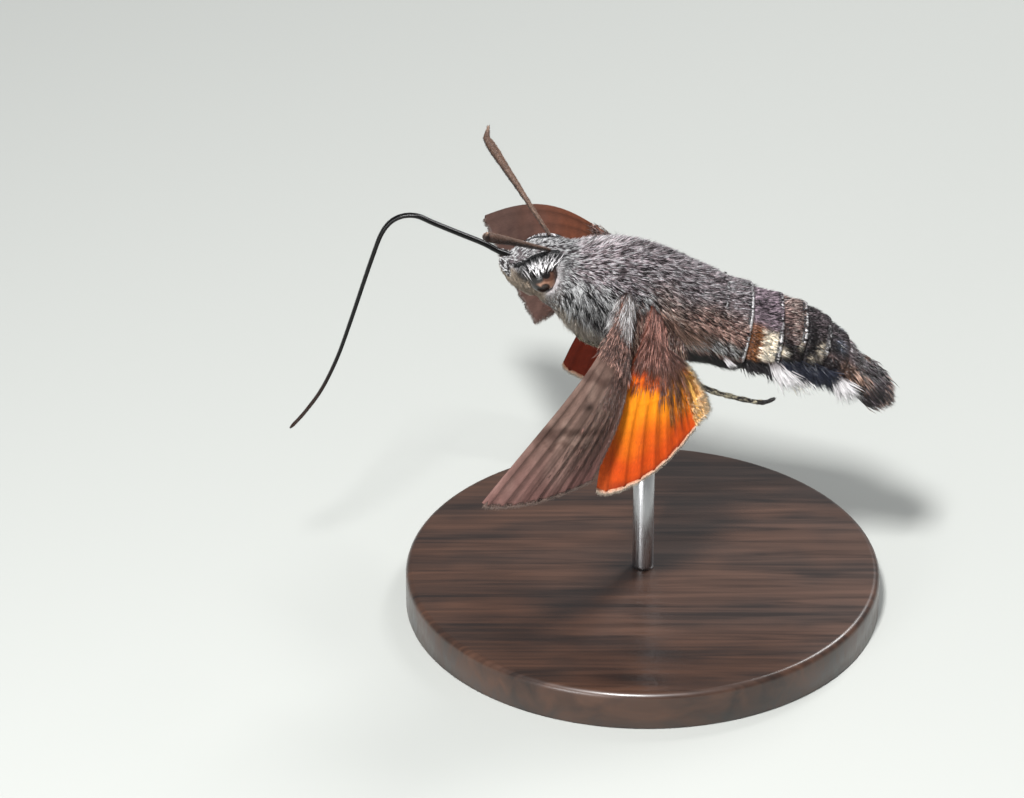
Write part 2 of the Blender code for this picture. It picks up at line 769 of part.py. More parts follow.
def make_abdomen(mats):
    """Make the abdomen with its side tufts."""
    body = body_part("abdomen", THORAX_BACK + GAP, ABDOMEN_BACK, END_ROUND, TAIL_ROUND,
                     mats["abdomen"])
    rng = random.Random(TUFT_SEED)
    pieces = []
    for n, x in enumerate(TUFT_X):
        z, half_w, half_h = spine_at(x)
        for k, degrees in enumerate(TUFT_TURNS):
            low = max(-math.cos(math.radians(degrees)), 0.0)
            size = (TUFT_LENGTH + TUFT_LOW_EXTRA * low) * (TUFT_SIZES[0] + TUFT_SIZES[1] * rng.random())
            lean = TUFT_LEAN[0] + TUFT_LEAN[1] * low + TUFT_LEAN[2] * rng.random()
            for turn in (-1, 1):
                out = (0.0, turn * math.sin(math.radians(degrees)), -low)
                root = (x + TUFT_SHIFT * k, TUFT_DEEP * half_w * out[1], z + TUFT_DEEP * half_h * out[2])
                run = (1.0, out[1] * lean, out[2] * lean - TUFT_DOWN)
                name = "tuft_" + str(n) + "_" + str(k) + "_" + str(turn)
                pieces.append(lock(name, root, run, out, size, TUFT_WIDTH, LOCK_SAG, mats["abdomen"]))
    fuse(body, pieces)


def make_tail(mats):
    """Make the tail fan from a core and layers of flat locks."""
    dx, dz = spine_tilt(ABDOMEN_BACK)
    clear = GAP + FAN_CLEAR
    foot = (ABDOMEN_BACK + dx * clear, spine_at(ABDOMEN_BACK)[0] + dz * clear)
    rings = []
    for s in FAN_CORE_RINGS:
        wide = FAN_HALF_WIDTH * (1 + FAN_CORE_GROW * s) * (1 - FAN_CORE_TAPER * s)
        deep = FAN_HALF_DEPTH * (1 - FAN_CORE_THIN * s)
        ring = []
        for k in range(FAN_CORE_SIDES):
            turn = 2 * math.pi * k / FAN_CORE_SIDES
            rise = deep * math.cos(turn)
            ring.append((
                foot[0] + dx * FAN_CORE_LENGTH * s - dz * rise,
                wide * math.sin(turn),
                foot[1] + dz * FAN_CORE_LENGTH * s + dx * rise,
            ))
        rings.append(ring)
    points, faces = loft(rings)
    core = make_object("tail_fan", points, faces, mats["tail"])
    rng = random.Random(FAN_SEED)
    pieces = []
    for layer in range(FAN_LAYERS):
        level = (layer - (FAN_LAYERS - 1) / 2) * FAN_LAYER_STEP
        for k in range(FAN_LOCKS):
            across = 2 * k / (FAN_LOCKS - 1) - 1
            yaw = math.radians(FAN_SPREAD * across)
            size = FAN_SIZES[0] + FAN_SIZES[1] * rng.random()
            size -= FAN_ROUND * across ** 2 + FAN_OUTER_SHORTER * abs(level)
            root = (
                foot[0] + dx * FAN_ROOT_AT - dz * level,
                FAN_ROOT_WIDE * FAN_HALF_WIDTH * across,
                foot[1] + dz * FAN_ROOT_AT + dx * level,
            )
            rise = FAN_LAYER_SPREAD * level
            run = (dx * math.cos(yaw) - dz * rise, math.sin(yaw), dz * math.cos(yaw) + dx * rise)
            name = "fan_" + str(layer) + "_" + str(k)
            pieces.append(lock(name, root, run, (-dz, 0.0, dx), FAN_LENGTH * size, FAN_LOCK_WIDTH,
                               FAN_BEND, mats["tail"]))
    back, wide, down, deeper = FAN_SIDE_ROOT
    for k, degrees in enumerate(FAN_SIDE_TURNS):
        low = max(-math.cos(math.radians(degrees)), 0.0)
        for turn in (-1, 1):
            out = (-FAN_SIDE_FORWARD, turn * math.sin(math.radians(degrees)), -low)
            root = (foot[0] + back, wide * FAN_HALF_WIDTH * out[1], foot[1] - down - deeper * low)
            run = (dx, out[1] * FAN_SIDE_LEAN[0], dz - FAN_SIDE_LEAN[1] * low)
            pieces.append(lock("side_" + str(k) + "_" + str(turn), root, run, out, FAN_SIDE_LENGTH,
                               FAN_SIDE_WIDTH, LOCK_SAG, mats["tail"]))
    fuse(core, pieces)


def make_wings(mats):
    """Make the four wings."""
    hind_bows = (HIND_COSTA_BOW, HIND_INNER_BOW, HIND_MARGIN_BOW)
    for side, places, turn, costa, arch in (
        ("left", (FORE_ROOT, FORE_TIP, FORE_CORNER, HIND_ROOT, HIND_TIP, HIND_CORNER), 1,
         FORE_COSTA_BOW, FORE_ARCH),
        ("right", (FORE_ROOT_R, FORE_TIP_R, FORE_CORNER_R, HIND_ROOT_R, HIND_TIP_R,
                   HIND_CORNER_R), -1, FORE_COSTA_BOW_R, FORE_ARCH_R),
    ):
        fore_bows = (costa, FORE_INNER_BOW, FORE_MARGIN_BOW)
        fore_lifts = (FORE_CAMBER * turn, arch * turn)
        hind_lifts = (HIND_CAMBER * turn, 0.0)
        wing("forewing_" + side, *places[:3], fore_bows, FORE_ROOT_WIDTH, fore_lifts,
             FORE_VEINS, CELL_FROM_TO, FORE_STATIONS, mats["forewing"])
        wing("hindwing_" + side, *places[3:], hind_bows, HIND_ROOT_WIDTH, hind_lifts,
             HIND_VEINS, HIND_CELL_FROM_TO, HIND_STATIONS, mats["hindwing"])


def circle(radius, height, sides):
    """Give the points of a level circle round the stand's axis."""
    turns = [2 * math.pi * k / sides for k in range(sides)]
    return [(radius * math.cos(turn), radius * math.sin(turn), height) for turn in turns]


def make_stand(mats):
    """Make the stand's round base and the rod up to the belly."""
    rings = []
    for radius, height in ((BASE_R, 0.0), (BASE_R, BASE_H - BASE_EDGE), (BASE_R - BASE_EDGE, BASE_H)):
        rings.append(circle(radius, height, BASE_SIDES))
    points, faces = loft(rings)
    make_object("stand_base", points, faces, mats["base"], (0.0, 0.0, 0.0))
    foot = BASE_H + GAP
    top = THORAX_AT[2] + skin_z(-THORAX_AT[0], 0.0, -1) - ROD_CLEAR
    heights = [foot + (top - foot) * k / ROD_STEPS for k in range(ROD_STEPS + 1)]
    points, faces = loft([circle(ROD_R, z, ROD_SIDES) for z in heights])
    make_object("stand_rod", points, faces, mats["rod"], (0.0, 0.0, 0.0))


def main():
    """Build every object of the part."""
    clear_scene()
    mats = {key: material(*finish) for key, finish in FINISHES.items()}
    make_head(mats)
    body_part("thorax", HEAD_BACK + GAP, THORAX_BACK, END_ROUND, END_ROUND, mats["fur"])
    make_feelers(mats)
    make_tongue(mats)
    make_legs(mats)
    make_abdomen(mats)
    make_tail(mats)
    make_wings(mats)
    make_stand(mats)


main()
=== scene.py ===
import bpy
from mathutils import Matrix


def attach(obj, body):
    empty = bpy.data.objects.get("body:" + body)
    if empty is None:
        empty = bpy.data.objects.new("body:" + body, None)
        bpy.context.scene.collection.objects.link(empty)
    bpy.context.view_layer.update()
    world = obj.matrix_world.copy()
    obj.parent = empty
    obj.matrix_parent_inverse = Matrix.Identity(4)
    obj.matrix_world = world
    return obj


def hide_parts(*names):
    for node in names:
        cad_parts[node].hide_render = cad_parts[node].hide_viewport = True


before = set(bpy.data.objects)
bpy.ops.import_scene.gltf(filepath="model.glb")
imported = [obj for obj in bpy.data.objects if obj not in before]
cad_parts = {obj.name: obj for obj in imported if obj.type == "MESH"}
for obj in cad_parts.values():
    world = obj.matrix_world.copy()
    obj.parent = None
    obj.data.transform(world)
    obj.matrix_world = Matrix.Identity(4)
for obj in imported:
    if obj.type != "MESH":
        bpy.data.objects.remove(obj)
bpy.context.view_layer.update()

import math

import bpy
import numpy as np
from mathutils import Vector

# Lengths are millimetres from the thorax centre, as in the part's source.
MM = 0.001
THORAX_AT = np.array((-1.5, 0.0, 27.0))

# The body's middle line: place along the body, height, half width and half height.
SPINE = np.array((
    (-9.4, 2.75, 0.75, 0.75),
    (-8.8, 2.3, 1.25, 1.15),
    (-7.8, 1.95, 2.05, 1.85),
    (-6.0, 1.72, 2.7, 2.4),
    (-4.6, 1.2, 3.2, 2.85),
    (-1.9, 0.2, 4.1, 4.0),
    (1.1, -0.52, 4.2, 4.1),
    (5.6, -2.15, 4.0, 3.6),
    (9.3, -3.3, 3.8, 3.05),
    (13.0, -4.35, 3.3, 2.65),
    (16.0, -6.1, 2.3, 1.75),
    (18.0, -8.0, 1.2, 0.7),
))
SKIN_FROM_TO = (-9.25, 17.6)
SKIN_LONG = SKIN_FROM_TO[1] - SKIN_FROM_TO[0]
# The length over which the nose rounds off, and the depth of the coat on the thorax.
NOSE_ROUND = 1.1
THORAX_COAT = 0.36
# Rear edges of the abdomen's rings, as places along the body.
EDGES = np.array((5.2, 8.45, 10.9, 12.5, 14.1, 15.6, 17.8))
# How much further back each ring edge lies for each degree from the top.
EDGE_LEAN = 0.0035
# Middle and radii of the left eye.
EYE_AT = np.array((-6.13, -1.97, 2.1))
EYE_RADII = np.array((1.12, 1.0, 1.2))
# Places of the black line on the head: along the body, degrees from its top.
BROW_LINE = ((-8.5, -7.24, -5.9, -5.3), (65.0, 40.5, 25.5, 20.0))
# The sides, with the sign that turns the left one into each.
SIDES = (("left", 1), ("right", -1))


def lin(r, g, b):
    """Give linear colour from ordinary 0-255 values."""
    c = np.array((r, g, b)) / 255.0
    return np.where(c <= 0.04045, c / 12.92, ((c + 0.055) / 1.055) ** 2.4)


def mix(a, b, f):
    """Mix two colours or colour lists by f, one number for all or for each row."""
    f = np.asarray(f, float)
    if f.ndim:
        f = f[:, None]
    return a * (1 - f) + b * f


def step(lo, hi, v):
    """Rise smoothly from 0 at lo to 1 at hi."""
    t = np.clip((v - lo) / (hi - lo), 0, 1)
    return t * t * (3 - 2 * t)


def band(v, lo, hi, soft):
    """Give 1 inside lo to hi and 0 outside, with soft edges."""
    return step(lo - soft, lo + soft, v) * (1 - step(hi - soft, hi + soft, v))


def wobble(p, scale, seed):
    """Give a smooth random field from -1 to 1 at the points p."""
    rng = np.random.RandomState(seed)
    total = np.zeros(len(p))
    for k in range(7):
        wave = rng.normal(size=3) * scale * (0.6 + 0.25 * k)
        total += np.sin(p @ wave + rng.uniform(0, 6.28)) / (1 + 0.3 * k)
    return np.clip(total / 2.6, -1, 1)


def unit(v):
    """Scale rows to length 1."""
    return v / np.maximum(np.linalg.norm(v, axis=-1, keepdims=True), 1e-9)


def make_mesh(name, verts, tris, mat, cols=None, uv=None, place=None, offset=THORAX_AT):
    """Make an object from triangle arrays with its colours and its bake map."""
    mesh = bpy.data.meshes.new(name)
    verts = (np.asarray(verts, float) + offset) * MM
    tris = np.asarray(tris, np.int32)
    mesh.vertices.add(len(verts))
    mesh.vertices.foreach_set("co", verts.ravel())
    mesh.loops.add(len(tris) * 3)
    mesh.loops.foreach_set("vertex_index", tris.ravel())
    mesh.polygons.add(len(tris))
    mesh.polygons.foreach_set("loop_start", np.arange(0, len(tris) * 3, 3, dtype=np.int32))
    mesh.update(calc_edges=True)
    mesh.polygons.foreach_set("use_smooth", np.ones(len(tris), bool))
    if cols is not None:
        layer = mesh.color_attributes.new(name="Col", type="FLOAT_COLOR", domain="POINT")
        rgba = np.ones((len(verts), 4))
        rgba[:, :3] = np.clip(cols, 0, 1)
        layer.data.foreach_set("color", rgba.ravel())
    if uv is not None:
        layer = mesh.uv_layers.new(name="OFBake")
        layer.uv.foreach_set("vector", np.asarray(uv, float)[tris.ravel()].ravel())
    if place is not None:
        layer = mesh.attributes.new(name="place", type="FLOAT_VECTOR", domain="POINT")
        layer.data.foreach_set("vector", np.asarray(place, float).ravel())
    mesh.materials.append(mat)
    obj = bpy.data.objects.new(name, mesh)
    bpy.context.scene.collection.objects.link(obj)
    return obj


def place_piece(obj, slot, *nodes):
    """Fix a piece to the body and hide the nodes that it stands for; its finish, slot, is not used."""
    if nodes:
        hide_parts(*nodes)
    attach(obj, "root")


def ring_tris(rings, sides, closed=True, caps=True):
    """Give the triangles of a grid of rings."""
    r = np.arange(rings - 1)[:, None] * sides
    k = np.arange(sides if closed else sides - 1)[None, :]
    a = r + k
    b = r + (k + 1) % sides
    tris = [np.stack([a, b, b + sides], -1).reshape(-1, 3),
            np.stack([a, b + sides, a + sides], -1).reshape(-1, 3)]
    if caps:
        fan = np.arange(1, sides - 1)
        tris.append(np.stack([np.zeros_like(fan), fan + 1, fan], -1))
        top = (rings - 1) * sides
        tris.append(np.stack([np.full_like(fan, top), top + fan, top + fan + 1], -1))
    return np.concatenate(tris)


def grid_object(name, grid, mat, cols, caps=True):
    """Make an object from a grid of closed rings, unwrapped by its own rows."""
    rings, sides = grid.shape[:2]
    u, v = np.meshgrid((np.arange(sides) + 0.5) / sides, np.arange(rings) / (rings - 1))
    uv = np.stack([u.ravel(), v.ravel()], 1)
    return make_mesh(name, grid.reshape(-1, 3), ring_tris(rings, sides, True, caps), mat, cols, uv)


def hermite(f, a, slope_a, b, slope_b):
    """Give the smooth curve from a to b at the share f of the way."""
    return ((2 * f ** 3 - 3 * f ** 2 + 1) * a + (f ** 3 - 2 * f ** 2 + f) * slope_a
            + (-2 * f ** 3 + 3 * f ** 2) * b + (f ** 3 - f ** 2) * slope_b)


def smooth_path(rows, count):
    """Pass a smooth curve through rows of numbers and return count even steps."""
    pts = np.array(rows, float)
    last = len(pts) - 1
    s = np.linspace(0, last, last * 24 + 1)
    i = np.minimum(s.astype(int), last - 1)
    p0 = pts[np.maximum(i - 1, 0)]
    p1 = pts[i]
    p2 = pts[i + 1]
    p3 = pts[np.minimum(i + 2, last)]
    fine = hermite((s - i)[:, None], p1, (p2 - p0) / 2, p2, (p3 - p1) / 2)
    run = np.concatenate([[0.0], np.cumsum(np.linalg.norm(np.diff(fine[:, :3], axis=0), axis=1))])
    want = np.linspace(0.0, run[-1], count)
    return np.stack([np.interp(want, run, fine[:, j]) for j in range(fine.shape[1])], axis=1)


def tube_grid(path, radii, sides, shape=1.0):
    """Give the rings of a tube; shape multiplies the radius by angle and run."""
    tang = unit(np.gradient(path, axis=0))
    across = np.cross(tang[0], (0.0, 1.0, 0.12))
    turn = 2 * np.pi * np.arange(sides) / sides
    rings = []
    for t in tang:
        across = unit(across - t * np.dot(across, t))
        up = np.cross(t, across)
        rings.append(np.cos(turn)[:, None] * across + np.sin(turn)[:, None] * up)
    size = np.asarray(radii)[:, None] * shape * np.ones(sides)
    return path[:, None, :] + size[..., None] * np.array(rings)


def curve(root, run, out, length, droop=0.0, rings=1):
    """Give the points of tufts from root to tip; droop bends them back to the skin."""
    run = unit(run)
    length = length[:, None]
    return [root + run * length * s - out * droop * length * s * s for s in np.arange(rings + 1) / rings]


# Half the size of a tuft's patch on the bake map, and how a longer tuft widens and tapers.
PATCH_HALF = 0.0013
TUFT_TAPER = (0.75, 1.0, 0.8)


def tufts(name, path, out, width, cols, uv, slot):
    """Make closed tapered tufts along paths as one mesh; cols are their root, middle and tip colours."""
    rings = len(path) - 1
    n = len(path[0])
    width = np.broadcast_to(np.asarray(width, float), (n,))[:, None]
    taper = (1.0,) if rings == 1 else TUFT_TAPER
    pts = []
    shades = []
    maps = []
    for k in range(rings):
        s = k / rings
        run = unit(path[k + 1] - path[k])
        side = unit(np.cross(run, out))
        lift = np.cross(side, run)
        wide = width * (0.5 * taper[min(k, 2)])
        pts += [path[k] + side * wide, path[k] - side * wide, path[k] + lift * wide]
        shades += [mix(cols[0], cols[1], min(2 * s, 1.0))] * 3
        up = PATCH_HALF * (2 * s - 1)
        maps += [uv + (PATCH_HALF, up), uv + (-PATCH_HALF, up), uv + (0.0, up + PATCH_HALF * 0.3)]
    per = 3 * rings + 1
    verts = np.stack(pts + [path[-1]], 1).reshape(-1, 3)
    shade = np.stack(shades + [cols[2]], 1).reshape(-1, 3)
    place = np.clip(np.stack(maps + [uv + (0.0, PATCH_HALF)], 1).reshape(-1, 2), 0.0, 1.0)
    corners = ((0, 1), (1, 2), (2, 0))
    tri = [(0, 1, 2)]
    for low in range(0, 3 * (rings - 1), 3):
        for a, b in corners:
            tri += [(low + a, low + 3 + b, low + b), (low + a, low + 3 + a, low + 3 + b)]
    tri += [(3 * (rings - 1) + a, per - 1, 3 * (rings - 1) + b) for a, b in corners]
    tris = (np.arange(n)[:, None, None] * per + np.array(tri)[None]).reshape(-1, 3)
    place_piece(make_mesh(name, verts, tris, MAT_FUR, shade, place), slot)


def sample_grid(grid, count, rng, weight=1.0):
    """Pick places on a grid of closed rings by area, with their directions."""
    rings, sides = grid.shape[:2]
    nxt = np.roll(grid, -1, axis=1)
    along = grid[1:] - grid[:-1]
    around = nxt[:-1] - grid[:-1]
    area = np.linalg.norm(np.cross(along, around), axis=2) * weight
    pick = rng.choice(area.size, count, p=area.ravel() / area.sum())
    i = pick // sides
    j = pick % sides
    f = rng.rand(count)[:, None]
    g = rng.rand(count)[:, None]
    p = (grid[i, j] * (1 - f) * (1 - g) + grid[i + 1, j] * f * (1 - g)
         + nxt[i, j] * (1 - f) * g + nxt[i + 1, j] * f * g)
    uv = np.stack([((j + g[:, 0] + 0.5) / sides) % 1.0, (i + f[:, 0]) / (rings - 1)], 1)
    return p, unit(along[i, j]), unit(around[i, j]), uv, i + f[:, 0], j + g[:, 0]


def spine(s):
    """Give z, half width, half height and tilt of the body's middle line."""
    s = np.asarray(s, float)
    xs = SPINE[:, 0]

    def rows(at):
        i = np.clip(np.searchsorted(xs, at) - 1, 0, len(xs) - 2)
        lo = np.maximum(i - 1, 0)
        hi = np.minimum(i + 2, len(xs) - 1)
        span = (xs[i + 1] - xs[i])[..., None]
        f = ((at - xs[i]) / (xs[i + 1] - xs[i]))[..., None]
        slope_a = (SPINE[i + 1] - SPINE[lo]) / (xs[i + 1] - xs[lo])[..., None] * span
        slope_b = (SPINE[hi] - SPINE[i]) / (xs[hi] - xs[i])[..., None] * span
        return hermite(f, SPINE[i], slope_a, SPINE[i + 1], slope_b)

    here = rows(s)
    reach = 0.3
    rise = rows(s + reach)[..., 1] - rows(s - reach)[..., 1]
    size = np.hypot(2 * reach, rise)
    return here[..., 1], here[..., 2], here[..., 3], 2 * reach / size, rise / size


def body_point(s, turn, depth=0.0):
    """Give points of the body at s along it and turn round it, depth under the solids' surface."""
    z, half_w, half_h, dx, dz = spine(s)
    left = 1 - np.clip((s - SKIN_FROM_TO[0]) / NOSE_ROUND, 0, 1)
    nose = 0.3 + 0.7 * np.sqrt(np.maximum(1 - left ** 2, 0))
    side = np.maximum(half_w - depth, 0.1) * nose * np.sin(turn)
    rise = np.maximum(half_h - depth, 0.1) * nose * np.cos(turn)
    return np.stack([s - rise * dz, side, z + rise * dx], -1)


def body_at(s, degrees, lift):
    """Give the point at lift off the body's surface."""
    turn = math.radians(degrees)
    e = 0.01
    along = body_point(s + e, turn) - body_point(s - e, turn)
    around = body_point(s, turn + e) - body_point(s, turn - e)
    return body_point(s, turn) + unit(np.cross(along, around)) * lift


def cell_pick(p, size, seed):
    """Give a random number from 0 to 1 that is shared by all places in the same small cell."""
    k = np.floor(p / size + 0.37 * seed).astype(np.int64)
    mixed = (k[:, 0] * 73856093) ^ (k[:, 1] * 19349663) ^ (k[:, 2] * 83492791) ^ (seed * 2654435)
    mixed = ((mixed ^ (mixed >> 13)) * 1274126177) & 0x7FFFFFFF
    return (mixed % 100003) / 100003.0


def cell_push(p, size, *seeds):
    """Give a push from -0.5 to 0.5 on each axis that is shared by all places in the same small cell."""
    return np.stack([cell_pick(p, size, seed) - 0.5 for seed in seeds], 1)


def three_tones(pick, dark_below, dark, light_above, light, middle):
    """Give the brightness of hairs, dark, middling or light by their pick."""
    return np.where(pick < dark_below, dark, np.where(pick > light_above, light, middle))[:, None]


def joined(rows):
    """Join rows of arrays column by column."""
    return [np.concatenate(column) for column in zip(*rows)]


def body_map(s, turn):
    """Give places on the unwrap of the body's skin."""
    return np.stack([(turn / (2 * np.pi)) % 1.0, (s - SKIN_FROM_TO[0]) / SKIN_LONG], 1)


def rooted(s, turn, depth, over):
    """Give places at a depth in the body's coat and the directions out of it."""
    p = body_point(s, turn, depth)
    return p, unit(body_point(s, turn, -over) - p)


def away_from(path, p, i):
    """Give the directions of places p away from a path, at the steps i along it."""
    return unit(p - np.stack([np.interp(i, np.arange(len(path)), path[:, k]) for k in range(3)], 1))


def blot(u, u0, du, v, v0, dv):
    """Give a soft round spot, 1 in its middle."""
    return np.exp(-((u - u0) / du) ** 2 - ((v - v0) / dv) ** 2)


def layered(count, first, layers):
    """Lay colours over a first one; each layer is a colour and how strongly it covers each place."""
    col = np.tile(lin(*first), (count, 1))
    for colour, cover in layers:
        col = mix(col, lin(*colour), cover)
    return col


def ring_place(s, turn):
    """Give places along the body measured so that each ring edge has one value all round."""
    return s - EDGE_LEAN * degrees_from_top(turn)


def ring_part(s):
    """Give how far along its own abdomen ring each place is, from 0 to 1, and what is left of the ring."""
    i = np.clip(np.searchsorted(EDGES, s) - 1, 0, len(EDGES) - 2)
    size = EDGES[i + 1] - EDGES[i]
    f = np.clip((s - EDGES[i]) / size, 0, 1)
    return f, size * (1 - f)


def coat_depth(s, turn):
    """Give how far the skin lies under the solids' surface: each abdomen ring stands over the next."""
    s = np.asarray(s, float)
    rings = 0.34 - 0.2 * ring_part(ring_place(s, turn))[0] * step(6.5, 8.0, s)
    head = 0.24
    depth = head + (THORAX_COAT - head) * step(-5.6, -4.4, s)
    return depth * (1 - step(5.2, 5.4, s)) + rings * step(5.2, 5.4, s)


def degrees_from_top(turn):
    """Give the angle from the top of the body, 0 to 180, on either side."""
    return np.degrees(np.abs((turn + np.pi) % (2 * np.pi) - np.pi))


def eye_distance(p):
    """Give how far places are from the nearer eye in eye radii, and the places on the left side."""
    near = np.where(p[:, 1:2] < 0, p, p * (1, -1, 1))
    return np.linalg.norm((near - EYE_AT) / EYE_RADII, axis=1), near


# Colours of the hairs: tip and root.
GREY = (lin(196, 177, 181), lin(34, 26, 28))
PINK = (lin(202, 162, 150), lin(44, 28, 25))
SIDE = (lin(198, 150, 138), lin(50, 32, 27))
WHITE = (lin(250, 247, 248), lin(120, 112, 112))
STREAK = (lin(250, 246, 248), lin(9, 8, 10))
CREAM = (lin(214, 204, 192), lin(150, 136, 122))
# Cream darkened as painted shade, for the shaded underside of the face and palps.
SHADED_CREAM = (lin(184, 171, 156), lin(124, 110, 96))
SNOUT = (lin(226, 208, 208), lin(24, 20, 22))
CROWN = (lin(212, 198, 200), lin(30, 25, 28))
BLACK = (lin(34, 29, 33), lin(7, 6, 8))
BLUE = (lin(40, 44, 62), lin(6, 6, 9))
PALE_BLUE = (lin(214, 226, 250), BLUE[1])
RUST = (lin(180, 118, 74), lin(60, 32, 18))
PATCH = (lin(255, 248, 234), lin(250, 232, 204))
MAUVE = (lin(172, 152, 164), lin(36, 28, 34))
DARK = (lin(96, 84, 88), lin(12, 10, 12))
REAR = (lin(178, 142, 124), lin(40, 28, 24))
TAIL = (lin(96, 84, 88), lin(30, 24, 26))
TAIL_SIDE = lin(188, 152, 132)
TAIL_END = lin(206, 176, 166)
# Spots on the abdomen: place along it, degrees from the top, and their spread.
DARK_SPOTS = ((12.9, 58, 0.5, 24), (14.6, 40, 0.5, 16), (11.1, 50, 0.16, 30), (12.6, 40, 0.14, 30))
PALE_SPOTS = ((13.6, 62, 0.2, 12), (12.1, 66, 0.12, 7), (11.2, 84, 0.16, 6), (13.1, 82, 0.1, 6))
# Shares of dark and light hairs in a mixed coat, and the brightness of light and middling ones.
DARK_SHARE = 0.47
LIGHT_SHARE = 0.27
LIGHT_TONE = 2.1
MIDDLE_TONE = 0.6


def body_marks(p, s, turn):
    """Give tip colour, root colour and how mixed the hairs are, for places on the body."""
    a = degrees_from_top(turn)
    n = len(s)
    w = wobble(p, 0.9, 3)
    w2 = wobble(p, 3.2, 5)
    tip = np.tile(GREY[0], (n, 1))
    root = np.tile(GREY[1], (n, 1))
    mixed = np.full(n, 1.0)

    def paint(mask, colours, blend):
        nonlocal tip, root, mixed
        tip = mix(tip, colours[0], mask)
        root = mix(root, colours[1], mask)
        if blend is not None:
            mixed = mixed * (1 - mask) + blend * mask

    # Warmer down the sides behind the wings and on the abdomen.
    paint(0.9 * step(32, 74, a + 8 * w) * step(0.0, 2.2, s), PINK, None)
    paint(0.95 * step(34, 68, a + 8 * w) * step(2.2, 5.0, s) * (1 - step(8.8, 9.2, s)), SIDE, 1.25)
    # The breast in front of the wings is streaked black and white.
    paint(step(55, 84, a + 6 * w) * (1 - step(0.6, 2.0, s)) * step(-5.4, -4.4, s), STREAK, 1.5)
    paint(0.7 * band(s, -2.1, 0.0, 0.7) * band(a, 80, 112, 9), BLACK, 1.0)
    # The underside is pale in front and black behind.
    paint(step(109, 117, a + 4 * w) * (1 - step(1.0, 3.0, s)) * step(-5.4, -4.6, s), CREAM, 0.4)
    paint(0.85 * band(a + 3 * w, 99, 108, 2) * band(s, -3.2, 0.4, 0.5), BLACK, 0.5)
    paint(step(102, 114, a + 5 * w) * step(2.8, 5.2, s), BLACK, 0.5)
    paint(0.5 * band(a, 86, 104, 6) * band(s, 4.0, 8.2, 0.8), STREAK, 1.5)
    # Rings of the abdomen.
    seg = ring_place(s, turn)
    paint(0.85 * band(seg, 8.45, 10.85, 0.08) * (1 - step(50, 74, a + 6 * w)), MAUVE, 1.0)
    paint(band(seg, 8.45, 9.4, 0.15) * band(a, 50, 112, 8), RUST, 0.9)
    paint(band(seg, 9.35, 10.8, 0.14) * band(a, 56, 104, 6), PATCH, 0.0)
    paint(band(seg, 8.4, 10.9, 0.15) * step(102, 112, a), BLACK, 0.5)
    paint(0.8 * band(seg, 10.9, 12.5, 0.08) * (1 - step(48, 66, a)), PINK, 1.2)
    paint(0.9 * band(seg, 12.5, 15.6, 0.08) * (1 - step(52, 70, a)), DARK, 1.2)
    paint(0.96 * band(seg, 10.9, 15.5, 0.12) * step(54, 70, a + 9 * w2), BLACK, 0.9)
    for spots, cover, colours, blend in ((DARK_SPOTS, 0.92, BLACK, 0.3), (PALE_SPOTS, 0.9, PATCH, 1.2)):
        for s0, a0, ds, da in spots:
            paint(cover * blot(seg, s0, ds, a, a0, da), colours, blend)
    paint(0.9 * blot(seg, 14.8, 0.26, a, 30, 10), PALE_BLUE, 1.0)
    paint(0.85 * step(15.2, 15.8, s) * band(a, 50, 108, 12), REAR, 1.2)
    # Head: a streaked top, a black line, white cheeks and a smooth pale underside in cream darkened as
    # painted shade.
    head = 1 - step(-5.2, -4.4, s)
    line = np.interp(s, *BROW_LINE)
    paint(head * (1 - step(line - 3, line + 3, a)), CROWN, 1.5)
    paint(head * step(line - 2, line + 4, a), STREAK, 0.9)
    dist, near = eye_distance(p)
    low = step(76, 96, a + 10 * step(-7.2, -8.4, s))
    paint(head * low * (1 - 0.7 * step(-6.0, -5.2, s)), SHADED_CREAM, 0.12)
    paint(head * (1 - step(1.15, 1.5, dist)) * step(-0.2, 0.5, near[:, 0] - EYE_AT[0]), WHITE, 0.3)
    paint(0.85 * blot(s, -7.75, 0.45, a, 82, 9), BLACK, 0.5)
    thick = 2.6 + 1.2 * w2
    paint(head * (1 - step(thick - 1, thick + 1.5, np.abs(a - line))) * (1 - step(-5.7, -5.4, s)), BLACK, 0.0)
    return tip, root, mixed


def shade_hairs(tip, root, mixed, pick, rng):
    """Give root, middle and tip colours of hairs: pick says which are dark, middling and light."""
    n = len(tip)
    soft = np.minimum(mixed, 1.0)
    dark = pick < DARK_SHARE * mixed
    light = pick > 1 - LIGHT_SHARE * mixed
    tone = np.where(light, LIGHT_TONE, MIDDLE_TONE) * rng.uniform(0.85, 1.12, n)
    tone = mix(np.full((n, 1), 0.9), tone[:, None], soft)
    end = np.where(dark[:, None], mix(root, tip, 0.03), tip * tone)
    low = mix(root, end, np.where(light, 0.62, 0.35) * soft + 0.7 * (1 - soft))
    return [root * 0.6, low, end]


